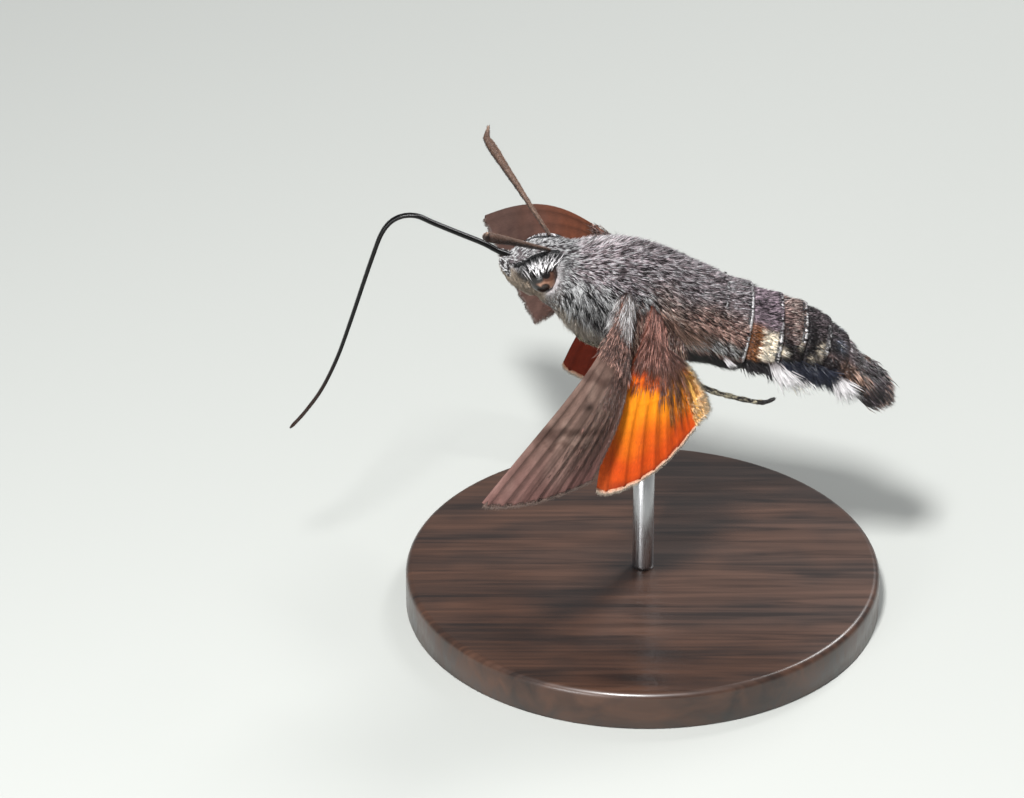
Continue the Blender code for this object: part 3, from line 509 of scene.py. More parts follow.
class Surface:
    """A node material that is built up node by node."""

    # The part of a noise texture's range that is used.
    NOISE_SPAN = (0.3, 0.7)

    def __init__(self, name, **looks):
        self.mat = bpy.data.materials.new(name)
        self.mat.use_nodes = True
        self.shader = self.mat.node_tree.nodes["Principled BSDF"]
        self.feed(self.shader, {key.replace("_", " "): value for key, value in looks.items()})

    def feed(self, node, inputs):
        """Set a node's inputs, or link them to the outputs of other nodes."""
        for key, value in inputs.items():
            if isinstance(value, bpy.types.NodeSocket):
                self.mat.node_tree.links.new(value, node.inputs[key])
            else:
                node.inputs[key].default_value = value

    def add(self, kind, inputs=None, **traits):
        """Add a node of a kind with its traits and inputs."""
        node = self.mat.node_tree.nodes.new("ShaderNode" + kind)
        for key, value in traits.items():
            setattr(node, key, value)
        self.feed(node, inputs or {})
        return node

    def attribute(self, name, output):
        """Add an attribute of the mesh and give its output."""
        return self.add("Attribute", attribute_name=name).outputs[output]

    def stretched(self, scale):
        """Give the object's own coordinates, stretched on each axis."""
        place = self.add("TexCoord").outputs["Object"]
        return self.add("Mapping", {"Vector": place, "Scale": scale}).outputs["Vector"]

    def noise(self, vector, scale, detail, low, high, **inputs):
        """Add a noise texture and give it, also brought to the range from low to high."""
        noise = self.add("TexNoise", {"Vector": vector, "Scale": scale, "Detail": detail, **inputs})
        span = self.add("MapRange", {"Value": noise.outputs["Fac"], "To Min": low, "To Max": high,
                                     "From Min": self.NOISE_SPAN[0], "From Max": self.NOISE_SPAN[1]})
        return noise.outputs["Fac"], span.outputs["Result"]

    def ramp(self, value, dark, light):
        """Turn a value into a colour; dark and light are each a place and a colour."""
        ramp = self.add("ValToRGB", {"Fac": value})
        for stop, (place, colour) in zip(ramp.color_ramp.elements, (dark, light)):
            stop.position = place
            stop.color = (*colour, 1)
        return ramp.outputs["Color"]

    def mark(self, shade):
        """Take the colour from the marks on the mesh, times a fine variation."""
        times = self.add("VectorMath", {0: self.attribute("Col", "Color"), "Scale": shade}, operation="SCALE")
        self.feed(self.shader, {"Base Color": times.outputs["Vector"]})

    def relief(self, height, strength, depth):
        """Add low relief from a height."""
        bump = self.add("Bump", {"Height": height, "Strength": strength, "Distance": depth})
        self.feed(self.shader, {"Normal": bump.outputs["Normal"]})


FINE_RELIEF = 0.00006
SCALE_RELIEF = 0.00005
GRAIN_RELIEF = 0.00005


def coat_material(name, rough, spec, vary, vary_scale, bump=0.0, bump_scale=0.0):
    """Make a material that takes its colour from the marks on the mesh, with fine variation."""
    made = Surface(name, Roughness=rough, Specular_IOR_Level=spec)
    place = made.add("TexCoord").outputs["Object"]
    made.mark(made.noise(place, vary_scale, 4.0, 1.0 - vary, 1.0 + vary)[1])
    if bump > 0:
        made.relief(made.noise(place, bump_scale, 3.0, 0.0, 1.0)[0], bump, FINE_RELIEF)
    return made.mat


def wing_material():
    """Make the powdery wing material: marks, long fine scale streaks and low relief."""
    made = Surface("wing_scales", Roughness=0.7, Specular_IOR_Level=0.15)
    place = made.attribute("place", "Vector")
    long = made.add("VectorMath", {0: place, 1: (3.0, 17.0, 1.0)}, operation="MULTIPLY").outputs["Vector"]
    scales, shade = made.noise(long, 1.0, 5.0, 0.74, 1.24, Roughness=0.7)
    made.mark(shade)
    made.relief(scales, 0.6, SCALE_RELIEF)
    return made.mat


MAT_SKIN = coat_material("skin", 0.8, 0.2, 0.25, 3000.0, 0.6, 9000.0)
MAT_FUR = coat_material("fur", 0.36, 0.6, 0.15, 900.0)
MAT_EYE = coat_material("eye_lens", 0.14, 0.6, 0.12, 5000.0, 0.15, 26000.0)
MAT_HORN = coat_material("horn", 0.5, 0.35, 0.3, 4000.0, 0.4, 14000.0)
MAT_TONGUE = coat_material("tongue", 0.22, 0.3, 0.12, 900.0, 0.1, 12000.0)
MAT_WING = wing_material()


def body_grid(rings=230, sides=120):
    """Give rings of the body's skin from the face to the end of the abdomen."""
    s = np.linspace(*SKIN_FROM_TO, rings)
    turn = 2 * np.pi * np.arange(sides) / sides
    ss, tt = np.meshgrid(s, turn, indexing="ij")
    return body_point(ss, tt, coat_depth(ss, tt)), ss, tt


def body_skin():
    """Make the one skin of head, thorax and abdomen, dished in round the eyes."""
    grid, ss, tt = body_grid()
    flat = grid.reshape(-1, 3)
    dist, near = eye_distance(flat)
    hole = (dist < 1.04) & (near[:, 1] < EYE_AT[1] + 0.2)
    inside = EYE_AT + unit(near - EYE_AT - (0, -0.9, 0)) * 0.3 + (0, 0.55, 0)
    moved = np.where(hole[:, None], mix(near, inside, 0.55), near)
    flat = np.where(flat[:, 1:2] < 0, moved, moved * (1, -1, 1))
    tip, root, _ = body_marks(grid.reshape(-1, 3), ss.ravel(), tt.ravel())
    skin = grid_object("body_skin", flat.reshape(grid.shape), MAT_SKIN, mix(root, tip, 0.12))
    place_piece(skin, "fur_brown", "head", "thorax", "abdomen")
    return grid, ss[:, 0]


def body_flow(p, s, turn, back, around):
    """Give the lie of the hairs on the body, parted round the eyes."""
    down = around * np.sign(np.sin(turn))[:, None]
    a = degrees_from_top(turn)
    fall = 0.14 + 0.75 * step(40, 90, a) * (1 - step(1.0, 3.5, s)) * step(-5.4, -3.8, s)
    fall = fall + 0.25 * step(50, 90, a) * step(3.5, 5.0, s) * (1 - step(8.5, 9.0, s))
    fall = fall * (1 - step(120, 150, a))
    run = back + down * fall[:, None]
    dist, near = eye_distance(p)
    away = np.where(p[:, 1:2] < 0, near - EYE_AT, (near - EYE_AT) * (1, -1, 1))
    close = 1 - step(1.2, 1.9, dist)
    behind = step(-0.2, 0.4, near[:, 0] - EYE_AT[0])
    run = run + unit(away) * (close * behind * 0.8)[:, None] + down * (close * (1 - behind) * 0.5)[:, None]
    return unit(run)


# Pieces of the body's coat: name, from, to, count of tufts and finish.
COAT = (
    ("fur_face", -9.3, -4.7, 38000, "fur_brown"),
    ("fur_collar", -4.7, -1.5, 32500, "fur_brown"),
    ("fur_thorax", -1.5, 1.8, 32500, "fur_brown"),
    ("fur_back", 1.8, 5.3, 31500, "fur_brown"),
    ("fur_waist", 5.3, 8.87, 28000, "fur_abdomen"),
    ("fur_abdomen", 8.87, 12.85, 26000, "fur_abdomen"),
    ("fur_rear", 12.85, 17.2, 18000, "fur_abdomen"),
)
# Length of the tufts on thorax and head, and what the abdomen, the breast and the waist's side change.
FUR_LONG = 0.74
FUR_HEAD = 0.42
FUR_REAR = 0.14
FUR_BREAST = 0.45
FUR_WAIST = 0.2


def body_fur(grid, s_rows):
    """Cover the body with fine tufts, in pieces from front to back."""
    rng = np.random.RandomState(21)
    for name, lo, hi, count, slot in COAT:
        rows = (s_rows[:-1] >= lo) & (s_rows[:-1] < hi)
        p, back, around, uv, i, j = sample_grid(grid, count, rng, rows[:, None].astype(float))
        keep = eye_distance(p)[0] > 1.02
        p, back, around, uv, i, j = (v[keep] for v in (p, back, around, uv, i, j))
        s = np.interp(i, np.arange(len(s_rows)), s_rows)
        turn = 2 * np.pi * j / grid.shape[1]
        n = len(p)
        out = unit(np.cross(back, around))
        a = degrees_from_top(turn)
        head = 1 - step(-5.3, -4.3, s)
        rear = step(5.2, 5.6, s)
        breast = step(55, 84, a) * (1 - step(0.6, 2.0, s)) * step(-5.4, -4.6, s)
        smooth = head * step(84, 100, a)
        # Hairs of one small cell share their tone and lie, but for one in ten.
        pick = np.where(head > 0.5, cell_pick(p, 0.09, 1), cell_pick(p, 0.11, 2))
        pick = np.where(breast > 0.5, cell_pick(p, 0.15, 22), pick)
        pick = np.where(rng.rand(n) < 0.1, rng.rand(n), pick)
        clump = np.stack([wobble(p, 2.6, seed) for seed in (201, 203, 205)], 1) * 0.14
        own = cell_push(p, 0.11, 3, 4, 5) * 0.6
        run = body_flow(p, s, turn, back, around) + clump + own + rng.normal(size=(n, 3)) * 0.05
        length = FUR_LONG * (1 - head) + FUR_HEAD * head - FUR_REAR * rear
        length = length + FUR_BREAST * step(55, 85, a) * band(s, -4.0, 3.5, 0.8)
        length = length + FUR_WAIST * step(45, 75, a) * band(s, 4.5, 8.87, 0.3)
        length = length * (1 - 0.25 * smooth) * rng.uniform(0.6, 1.2, n)
        left = ring_part(ring_place(s, turn))[1]
        length = np.where(s > 5.3, np.minimum(length, left + 0.12), length)
        lift = (0.33 - 0.11 * rear - 0.12 * smooth) * np.where(pick > 0.7, 1.1, 0.6)
        run = unit(run) + out * (lift * rng.uniform(0.8, 1.2, n))[:, None]
        width = (0.074 - 0.022 * head + 0.014 * breast) * rng.uniform(0.7, 1.2, n)
        cols = shade_hairs(*body_marks(p, s, turn), pick, rng)
        tufts(name, curve(p - out * 0.05, run, out, length), out, width, cols, uv, slot)


# Pale lines on the rings: place, share of pale scales, from and to in degrees from the top, and brightness.
RING_LINES = (
    (6.5, 0.5, 3, 44, 0.3), (8.45, 0.92, 0, 112, 1.0), (10.9, 0.45, 0, 60, 1.0),
    (10.9, 0.8, 60, 100, 1.0), (12.5, 0.4, 0, 60, 1.0), (14.1, 0.35, 10, 66, 1.0),
)
# Lines ahead of this place are faint and have no second row of dark scales.
RINGS_FROM = 7


def ring_edges():
    """Make the thin broken pale lines of short scales along the rear edges of the abdomen's rings."""
    rng = np.random.RandomState(23)
    rows = []
    for s0, share, lo, hi, bright in RING_LINES:
        faint = s0 < RINGS_FROM
        for way in (-1, 1):
            for back, pale in ((0.1, share),) if faint else ((0.1, share), (0.22, 0.0)):
                count = int(9 * (hi - lo))
                degrees = rng.uniform(lo, hi, count)
                turn = np.radians(degrees) * way
                s = s0 + EDGE_LEAN * degrees - back + rng.normal(size=count) * 0.03
                p, out = rooted(s, turn, 0.1, 0.2)
                ahead = body_point(s + 0.1, turn, 0.09)
                run = ahead - p + rng.normal(size=(count, 3)) * 0.02
                light = cell_pick(p, 0.13, 8) < pale
                keep = cell_pick(p, 0.2, 9) < (0.4 if faint else 0.8)
                keep = keep | (light & (not faint))
                tone = rng.uniform(0.85, 1.08, count)[:, None]
                tip = np.where(light[:, None], WHITE[0] * tone * bright, BLACK[0])
                rows.append([v[keep] for v in (p, run, out, tip, body_map(s, turn))])
    p, run, out, tip, uv = joined(rows)
    path = curve(p, run, out, rng.uniform(0.13, 0.2, len(p)))
    tufts("ring_edges", path, out, 0.07, [tip * 0.6, tip, tip], uv, "fur_abdomen")


# The left palp's middle line and radius.
PALP_PATH = (
    (-6.85, -0.85, 0.05, 0.28),
    (-7.6, -0.92, 0.82, 0.46),
    (-8.2, -0.88, 1.65, 0.5),
    (-8.8, -0.75, 2.3, 0.41),
    (-9.15, -0.62, 2.75, 0.26),
)
PALP_RINGS = 44
PALP_SIDES = 40
PALP_COAT = 0.06


def palp_marks(p, at):
    """Give tip and root colour and mix of the palps' scales: smooth and pale below in cream darkened as
    painted shade, speckled at the snout.
    """
    high = step(0.5, 0.72, at + 0.1 * wobble(p, 2.5, 29))
    return mix(SHADED_CREAM[0], SNOUT[0], high), mix(SHADED_CREAM[1], SNOUT[1], high), 0.1 + 1.4 * high


def palps():
    """Make the two palps that form the snout, each with its own short coat."""
    rows = smooth_path(PALP_PATH, PALP_RINGS)
    last = PALP_RINGS - 1
    rng = np.random.RandomState(31)
    steps = np.arange(PALP_RINGS)
    ends = np.clip(np.minimum(steps, last - steps) / 4, 0, 1)
    radii = (rows[:, 3] - PALP_COAT) * (0.4 + 0.6 * np.sqrt(1 - (1 - ends) ** 2))
    for side, flip in SIDES:
        path = rows[:, :3] * (1, flip, 1)
        grid = tube_grid(path, radii, PALP_SIDES)[:, ::flip]
        at = np.repeat(np.linspace(0, 1, PALP_RINGS), PALP_SIDES)
        tip, root, _ = palp_marks(grid.reshape(-1, 3), at)
        skin = grid_object("palp_skin_" + side, grid, MAT_SKIN, mix(root, tip, 0.4))
        place_piece(skin, "fur_pale", "palp_" + side)
        p, along, _, uv, i, _ = sample_grid(grid, 6500, rng)
        out = away_from(path, p, i)
        n = len(p)
        high = step(0.55, 0.85, i / last)
        run = along + out * (0.16 + 0.3 * high)[:, None] + rng.normal(size=(n, 3)) * 0.1
        cols = shade_hairs(*palp_marks(p, i / last), cell_pick(p, 0.12, 6), rng)
        path = curve(p - out * 0.03, run, out, rng.uniform(0.22, 0.36, n))
        tufts("palp_coat_" + side, path, out, rng.uniform(0.035, 0.055, n), cols, uv, "fur_pale")


def brow_line():
    """Make the black line on each side of the head from close short scales."""
    rng = np.random.RandomState(35)
    count = 700
    rows = []
    for way in (-1, 1):
        s = rng.uniform(-8.5, -5.75, count)
        wide = 1.3 + 3.5 * (1 - step(-8.3, -7.5, s))
        turn = np.radians(np.interp(s, *BROW_LINE) + rng.normal(size=count) * wide) * way
        ahead = np.radians(np.interp(s + 0.2, *BROW_LINE)) * way
        p, out = rooted(s, turn, 0.06, 0.2)
        run = body_point(s + 0.2, ahead, 0.04) - p + rng.normal(size=(count, 3)) * 0.03
        rows.append((p, run, out, body_map(s, turn)))
    p, run, out, uv = joined(rows)
    shade = np.tile(BLACK[1], (len(p), 1))
    path = curve(p, run, out, rng.uniform(0.2, 0.3, len(p)))
    tufts("brow_line", path, out, 0.07, [shade, shade, shade], uv, "fur_brown")


LASHES = 165
# How far the lashes stay off the middle of the eye, in eye radii.
LASH_CLEAR = 1.06


def eye_lashes():
    """Make the white scales that fan from under the black line down over the eyes."""
    rng = np.random.RandomState(33)
    n = LASHES
    for side, flip in SIDES:
        f = rng.rand(n)
        s = -8.0 + 2.6 * f + rng.normal(size=n) * 0.05
        turn = np.radians(np.interp(s, *BROW_LINE) + rng.uniform(3, 14, n))
        root = body_point(s, -turn, 0.08)
        # Angles round the eye seen from its side: 0 behind, 90 on top, 180 in front.
        around = np.radians(172 - 125 * f + rng.normal(size=n) * 10)
        away = np.radians(22 + 34 * np.abs(2 * f - 0.9) + rng.uniform(-12, 44, n))
        d = np.stack([np.sin(away) * np.cos(around), -np.cos(away), np.sin(away) * np.sin(around)], 1)
        tip = EYE_AT + d * EYE_RADII * LASH_CLEAR
        out = unit(np.tile((0.0, -math.cos(0.5), 0.5), (n, 1)))
        path = []
        for g in np.arange(4) / 3:
            p = root + (tip - root) * g + out * (0.22 * math.sin(math.pi * g))
            from_eye = (p - EYE_AT) / EYE_RADII
            size = np.linalg.norm(from_eye, axis=1, keepdims=True)
            p = np.where(size < LASH_CLEAR, EYE_AT + from_eye / size * EYE_RADII * LASH_CLEAR, p)
            path.append(p * (1, flip, 1))
        tone = rng.uniform(0.5, 1.05, n)[:, None]
        black = (rng.rand(n) < 0.42)[:, None]
        end = np.where(black, BLACK[1], WHITE[0] * tone)
        tufts("eye_lashes_" + side, path, out * (1, flip, 1), rng.uniform(0.045, 0.075, n),
              [end * 0.5, end, end], body_map(s, -turn * flip), "fur_pale")


TAIL_AT = 15.9
TAIL_TUFTS = 6400
TAIL_LONG = 5.8
TAIL_WIDE = 1.5
TAIL_HIGH = 0.95
TAIL_SPREAD = 21


def tail_fan():
    """Make the fan of long scales at the tail."""
    rng = np.random.RandomState(41)
    n = TAIL_TUFTS
    z, _, _, dx, dz = spine(TAIL_AT)
    foot = np.array((TAIL_AT + dx * 0.4, 0.0, z + dz * 0.4))
    run = np.array((dx, 0.0, dz))
    up = np.array((-dz, 0.0, dx))
    wide = np.array((0.0, 1.0, 0.0))
    across = rng.uniform(-1, 1, n)
    level = rng.uniform(-1, 1, n) * np.sqrt(1 - 0.55 * across ** 2)
    start = rng.uniform(-0.7, 2.3, n)
    root = foot + run * start[:, None] + wide * (TAIL_WIDE * across * (1 + 0.06 * start))[:, None]
    root = root + up * (level * TAIL_HIGH * (1 - 0.28 * np.maximum(start, 0)))[:, None]
    yaw = np.radians(TAIL_SPREAD) * across + rng.normal(size=n) * 0.04
    go = run * np.cos(yaw)[:, None] + wide * np.sin(yaw)[:, None]
    go = go + up * (0.05 * level - 0.08 + rng.normal(size=n) * 0.03)[:, None]
    full = TAIL_LONG * (0.92 - 0.34 * across ** 2 - 0.1 * np.abs(level))
    length = np.minimum((full - start) * rng.uniform(0.8, 1.0, n), rng.uniform(0.9, 1.7, n))
    extra = np.maximum(full - start - length, 0) * rng.uniform(0.0, 1.0, n)
    root = root + go * extra[:, None]
    start = start + extra
    w = wobble(root, 2.0, 9)
    side = step(0.3, 0.75, np.abs(across)) * (1 - step(0.9, 1.9, start + 0.3 * w)) * step(-0.8, -0.1, level)
    tip = mix(TAIL[0], TAIL_SIDE, 0.9 * side)
    tip = mix(tip, BLACK[0], 0.8 * step(0.4, 1.2, 0.3 * start + 0.5 * w - 0.3 * level))
    base = mix(TAIL[1], BLACK[1], step(0.4, 1.4, start))
    tone = three_tones(cell_pick(root, 0.2, 18), 0.42, 0.2, 0.74, 1.7, 0.75)
    pinkish = ((start + length > 4.2) & (rng.rand(n) < 0.5))[:, None]
    ends = np.where(pinkish, TAIL_END, tip * tone)
    uv = np.stack([0.5 + 0.45 * across, np.clip(0.1 + 0.8 * (start + 0.7) / 6.0, 0.0, 1.0)], 1)
    out = up * np.where(level < 0, -1, 1)[:, None]
    path = curve(root, go + out * 0.04 + 0.14 * cell_push(root, 0.2, 19, 20, 21), out, length, 0.2, 2)
    cols = [base, mix(base, ends, 0.6), ends]
    tufts("tail_coat", path, out, rng.uniform(0.07, 0.11, n), cols, uv, "fur_tail")
    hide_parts("tail_fan")


# Tufts beside the abdomen: place along it, degrees from the top, their spread, count, length, lean out
# and colours.
SIDE_TUFTS = (
    (7.6, 112, 0.2, 5, 30, 1.2, 0.6, WHITE),
    (11.25, 107, 0.4, 6, 170, 2.7, 0.9, WHITE),
    (10.9, 114, 0.6, 10, 260, 1.9, 0.4, BLACK),
    (11.6, 112, 0.7, 16, 330, 1.8, 0.45, BLUE),
    (12.9, 112, 0.8, 18, 420, 1.9, 0.45, BLUE),
    (13.0, 120, 0.3, 5, 26, 2.5, 0.75, WHITE),
    (14.2, 108, 0.7, 18, 420, 1.9, 0.4, BLUE),
    (12.5, 126, 0.3, 5, 20, 2.4, 0.8, PATCH),
    (15.9, 108, 0.4, 10, 210, 2.4, 0.6, WHITE),
    (15.5, 122, 0.5, 12, 260, 2.0, 0.4, BLUE),
    (9.6, 122, 0.7, 10, 200, 1.4, 0.4, BLACK),
)


def tuft_feet(rng, s0, a0, ds, da, count, flip):
    """Scatter the feet of tufts round a place on the body; flip is 1 on the left side."""
    s = s0 + rng.normal(size=count) * ds * 0.5
    return s, np.radians(a0 + rng.normal(size=count) * da * 0.5) * -flip


def side_tufts():
    """Make the white and blue-black tufts along the sides of the abdomen."""
    rng = np.random.RandomState(51)
    for side, flip in SIDES:
        rows = []
        for s0, a0, ds, da, count, size, lean, (tip_c, root_c) in SIDE_TUFTS:
            s, turn = tuft_feet(rng, s0, a0, ds, da, count, flip)
            p, out = rooted(s, turn, 0.12 if tip_c[0] > 0.5 else 0.42, 0.5)
            spread = (s - s0)[:, None] * np.array((0.5, 0, 0.25))
            run = np.array((0.75, 0, -0.62)) + out * lean * rng.uniform(0.6, 1.1, count)[:, None] + spread
            run = unit(run + rng.normal(size=(count, 3)) * 0.14)
            tone = rng.uniform(0.7, 1.1, count)[:, None]
            length = size * rng.uniform(0.6, 1.05, count)
            rows.append((p, run, out, length, root_c * tone, tip_c * tone, body_map(s, turn)))
        p, run, out, length, base, end, uv = joined(rows)
        path = curve(p, run, out, length, 0.08, 3)
        cols = [base, mix(base, end, 0.7), end]
        tufts("side_tufts_" + side, path, out, rng.uniform(0.05, 0.075, len(p)), cols, uv, "fur_abdomen")


# Root, tip and rear corner of the wings, left and right.
FORE_L = ((-0.5, -4.75, 1.35), (-11.0, -21.3, -6.2), (-2.75, -13.3, -8.7))
HIND_L = ((1.55, -4.95, 0.15), (-2.4, -11.4, -11.2), (6.0, -5.1, -7.4))
FORE_R = ((-0.5, 4.75, 1.35), (-11.0, 21.1, -5.3), (-6.6, 10.9, -9.0))
HIND_R = ((1.55, 5.1, 0.15), (-4.85, 8.5, -11.8), (3.0, 2.9, -8.5))
# Veins: place across the wing, and how far along it they start.
FORE_VEINS = ((0.05, 0.0), (0.17, 0.0), (0.27, 0.5), (0.36, 0.5), (0.45, 0.5),
              (0.54, 0.5), (0.63, 0.5), (0.72, 0.5), (0.81, 0.0), (0.93, 0.0))
HIND_VEINS = ((0.07, 0.0), (0.2, 0.0), (0.32, 0.5), (0.44, 0.5), (0.56, 0.5), (0.68, 0.0),
              (0.8, 0.0), (0.92, 0.0))
# How far along the wing the rear end of its root lies, in root widths.
ROOT_SLANT = 0.75


class Wing:
    """A wing's own plane, outline and camber, the same as in the solids."""

    def __init__(self, places, bows, root_width, camber, arch, turn):
        root, tip, corner = (np.array(p, float) for p in places)
        self.root = root
        self.along = unit(tip - root)
        self.out = unit(np.cross(self.along, corner - root))
        self.across = np.cross(self.out, self.along)
        self.length = np.linalg.norm(tip - root)
        self.corner = np.array((np.dot(corner - root, self.along), np.dot(corner - root, self.across)))
        self.bows = bows
        self.width = root_width
        self.camber = camber * turn
        self.arch = arch * turn
        self.upper = turn

    def flat(self, q, t):
        """Give the place in the wing's plane at q across and t along."""
        q = np.asarray(q, float)[..., None]
        t = np.asarray(t, float)[..., None]
        root_b = np.array((ROOT_SLANT * self.width, self.width))
        tip = np.array((self.length, 0.0))
        t = t * (1 - 0.035 * self.bows[2] * np.exp(-q / 0.05))
        margin_side = unit(np.array((self.corner[1], self.length - self.corner[0])))
        inner_side = unit(np.array((-self.corner[1], self.corner[0])))
        costa = tip * t + np.array((0.0, -1.0)) * self.bows[0] * np.sin(np.pi * t ** 1.35)
        inner = root_b + (self.corner - root_b) * t + inner_side * self.bows[1] * np.sin(np.pi * t)
        margin = tip + (self.corner - tip) * q + margin_side * self.bows[2] * np.sin(np.pi * q ** 0.9)
        both = (1 - q) * costa + q * inner + (1 - t) * root_b * q + t * margin
        return both - (q * (1 - t) * root_b + (1 - q) * t * tip + q * t * self.corner)

    def point(self, q, t, lift=0.0):
        """Give the place in space, lifted off the wing's middle surface; t below 0 runs into the body."""
        q = np.asarray(q, float)
        t = np.asarray(t, float)
        on = np.maximum(t, 0.0)
        flat = self.flat(q, on)
        bulge = self.camber * np.sin(np.pi * np.minimum(q + 0.1, 1.0)) * np.sin(np.pi * (0.15 + 0.7 * on))
        bulge = bulge + self.arch * (1 - 0.3 * q) * np.sin(np.pi * on ** 0.85)
        bulge = bulge + 0.05 * np.sin(q * 46) * step(0.25, 0.7, on)
        p = (self.root + flat[..., :1] * self.along + flat[..., 1:] * self.across
             + (bulge + lift)[..., None] * self.out)
        inward = self.along * 14 + np.array((0.0, np.sign(self.root[1]) * 28.0, 0.0))
        return p + np.minimum(t, 0.0)[..., None] * inward


def fore_marks(q, t, p, upper):
    """Give the forewing's colour at places, on its upper or under side."""
    w = wobble(p, 1.1, 61)
    w2 = wobble(p, 4.0, 63)
    if upper:
        first = (94, 74, 66)
        layers = (
            ((124, 104, 94), 0.6 * step(0.0, 0.8, w)),
            ((62, 44, 38), 0.7 * band(t + 0.02 * w2 + 0.04 * (q - 0.5), 0.33, 0.37, 0.015)),
            ((56, 40, 34), 0.8 * band(t + 0.035 * w + 0.06 * (q - 0.5), 0.61, 0.655, 0.015)),
            ((66, 48, 40), 0.6 * band(t + 0.03 * w2, 0.695, 0.715, 0.012)),
            ((34, 24, 20), 0.95 * blot(t, 0.5, 0.022, q, 0.3, 0.06)),
            ((74, 56, 48), 0.65 * step(0.86, 0.99, t)),
            ((78, 54, 46), 0.8 * (1 - step(0.08, 0.3, t))),
            ((70, 46, 40), 0.7 * step(0.55, 1.0, q)),
            ((112, 76, 74), 0.5 * step(0.6, 1.0, t)),
        )
    else:
        first = (90, 50, 34)
        layers = (
            ((76, 56, 50), step(0.4, 0.9, t + 0.06 * w)),
            ((112, 62, 36), 0.5 * (1 - step(0.1, 0.45, t))),
        )
    return layered(len(q), first, layers) * (1 + 0.14 * w2)[:, None]


# Dark folds of the hindwing: place across it, width and strength.
FOLDS = ((0.66, 0.010, 0.7), (0.73, 0.013, 0.85), (0.8, 0.009, 0.7), (0.3, 0.005, 0.3), (0.48, 0.006, 0.35))


def hind_marks(q, t, p, upper):
    """Give the hindwing's colour at places, on its upper or under side."""
    w = wobble(p, 1.2, 71)
    w2 = wobble(p, 4.5, 73)
    if upper:
        start = t + 0.035 * w2 + 0.05 * w
        first = (212, 122, 12)
        layers = [
            ((172, 50, 8), 0.9 * step(0.55, 0.88, t + 0.06 * w + 0.1 * (0.5 - q))),
            ((120, 38, 16), 0.85 * step(0.93, 0.99, t + 0.015 * w) * (1 - step(0.72, 0.85, q))),
            ((196, 62, 18), 0.85 * (1 - step(0.33, 0.46, start))),
            ((78, 44, 34), 0.95 * (1 - step(0.28, 0.37, start))),
            ((190, 80, 30), 0.6 * (1 - step(0.03, 0.14, q)) * step(0.4, 0.5, t)),
            ((246, 200, 112), 0.8 * step(0.84, 0.95, q) * step(0.4, 0.6, t)),
        ]
        for q0, wide, dark in FOLDS:
            fold = np.exp(-((q - q0 - 0.01 * w) / wide) ** 2) * dark * step(0.2, 0.35, t)
            layers.append(((74, 30, 16), fold * (1 - step(0.8, 0.96, t))))
        layers.append(((120, 44, 16), 0.25 * step(0.2, 0.7, w2) * step(0.5, 0.8, t)))
    else:
        first = (116, 38, 12)
        layers = (
            ((206, 156, 92), 0.9 * step(0.66, 0.88, q) * (1 - step(0.6, 0.85, t))),
            ((92, 26, 8), step(0.4, 0.85, t + 0.06 * w)),
        )
    return layered(len(q), first, layers) * (1 + 0.1 * w2)[:, None]


# A vane starts inside the body and ends short of the wing's tip, where the fringe goes on.
VANE_FROM_TO = (-0.04, 0.985)
# Each side of a wing reads its scale streaks this far from the middle.
STREAKS_APART = 5.0


def wing_map(q, t, under):
    """Give places on a wing's unwrap, its upper side on the left half and its under side on the right."""
    return np.stack([0.02 + 0.46 * q + (0.5 if under else 0.0), 0.02 + 0.96 * t], 1)


def make_wing(name, wing, veins, marks, wide_steps, long_steps, slot, node, vein_dark):
    """Make a wing: a thin scaled vane with raised veins, marked on both sides."""
    tt, qq = np.meshgrid(np.linspace(*VANE_FROM_TO, long_steps), np.linspace(0, 1, wide_steps), indexing="ij")
    ridge = np.zeros_like(qq)
    for place, start in veins:
        wide = 0.12 / (2.0 + 9.0 * np.maximum(tt, 0.05))
        rise = np.exp(-((qq - place) / wide) ** 2) * step(start - 0.02, start + 0.02, tt)
        ridge = np.maximum(ridge, rise)
    cell = np.exp(-((tt - 0.5) / 0.008) ** 2) * band(qq, veins[1][0], veins[-2][0], 0.01)
    ridge = np.maximum(ridge, 0.8 * cell)
    half = 0.05 + 0.05 * ridge + 0.06 * (1 - np.abs(2 * qq - 1)) * (1 - step(0.0, 0.4, tt))
    edge = np.minimum((1 - tt) * 40, 1.0) * np.minimum(np.minimum(qq, 1 - qq) * 60 + 0.2, 1.0)
    half = half * np.clip(edge, 0.15, 1.0)
    flat = wing.flat(qq, np.maximum(tt, 0.0)).reshape(-1, 2)
    run = (tt.ravel() - VANE_FROM_TO[0]) / (1 - VANE_FROM_TO[0])
    rows = []
    for sign in (1, -1):
        p = wing.point(qq, tt, sign * half).reshape(-1, 3)
        col = marks(qq.ravel(), tt.ravel(), p, sign * wing.upper > 0)
        col = col * (1 - vein_dark * ridge.ravel())[:, None]
        place = np.concatenate([flat, np.full((len(flat), 1), sign * STREAKS_APART)], 1)
        rows.append((p, col, wing_map(qq.ravel(), run, sign < 0), place))
    verts, cols, uv, places = joined(rows)
    base = ring_tris(long_steps, wide_steps, False, False)
    under = long_steps * wide_steps
    order = np.arange(under).reshape(long_steps, wide_steps)
    rim = np.concatenate([order[0], order[1:, -1], order[-1, -2::-1], order[-2:0:-1, 0]])
    nxt = np.roll(rim, -1)
    sides = np.concatenate([np.stack([rim, rim + under, nxt + under], 1),
                            np.stack([rim, nxt + under, nxt], 1)])
    tris = np.concatenate([base, base[:, ::-1] + under, sides])
    place_piece(make_mesh(name, verts, tris, MAT_WING, cols, uv, places), slot, node)


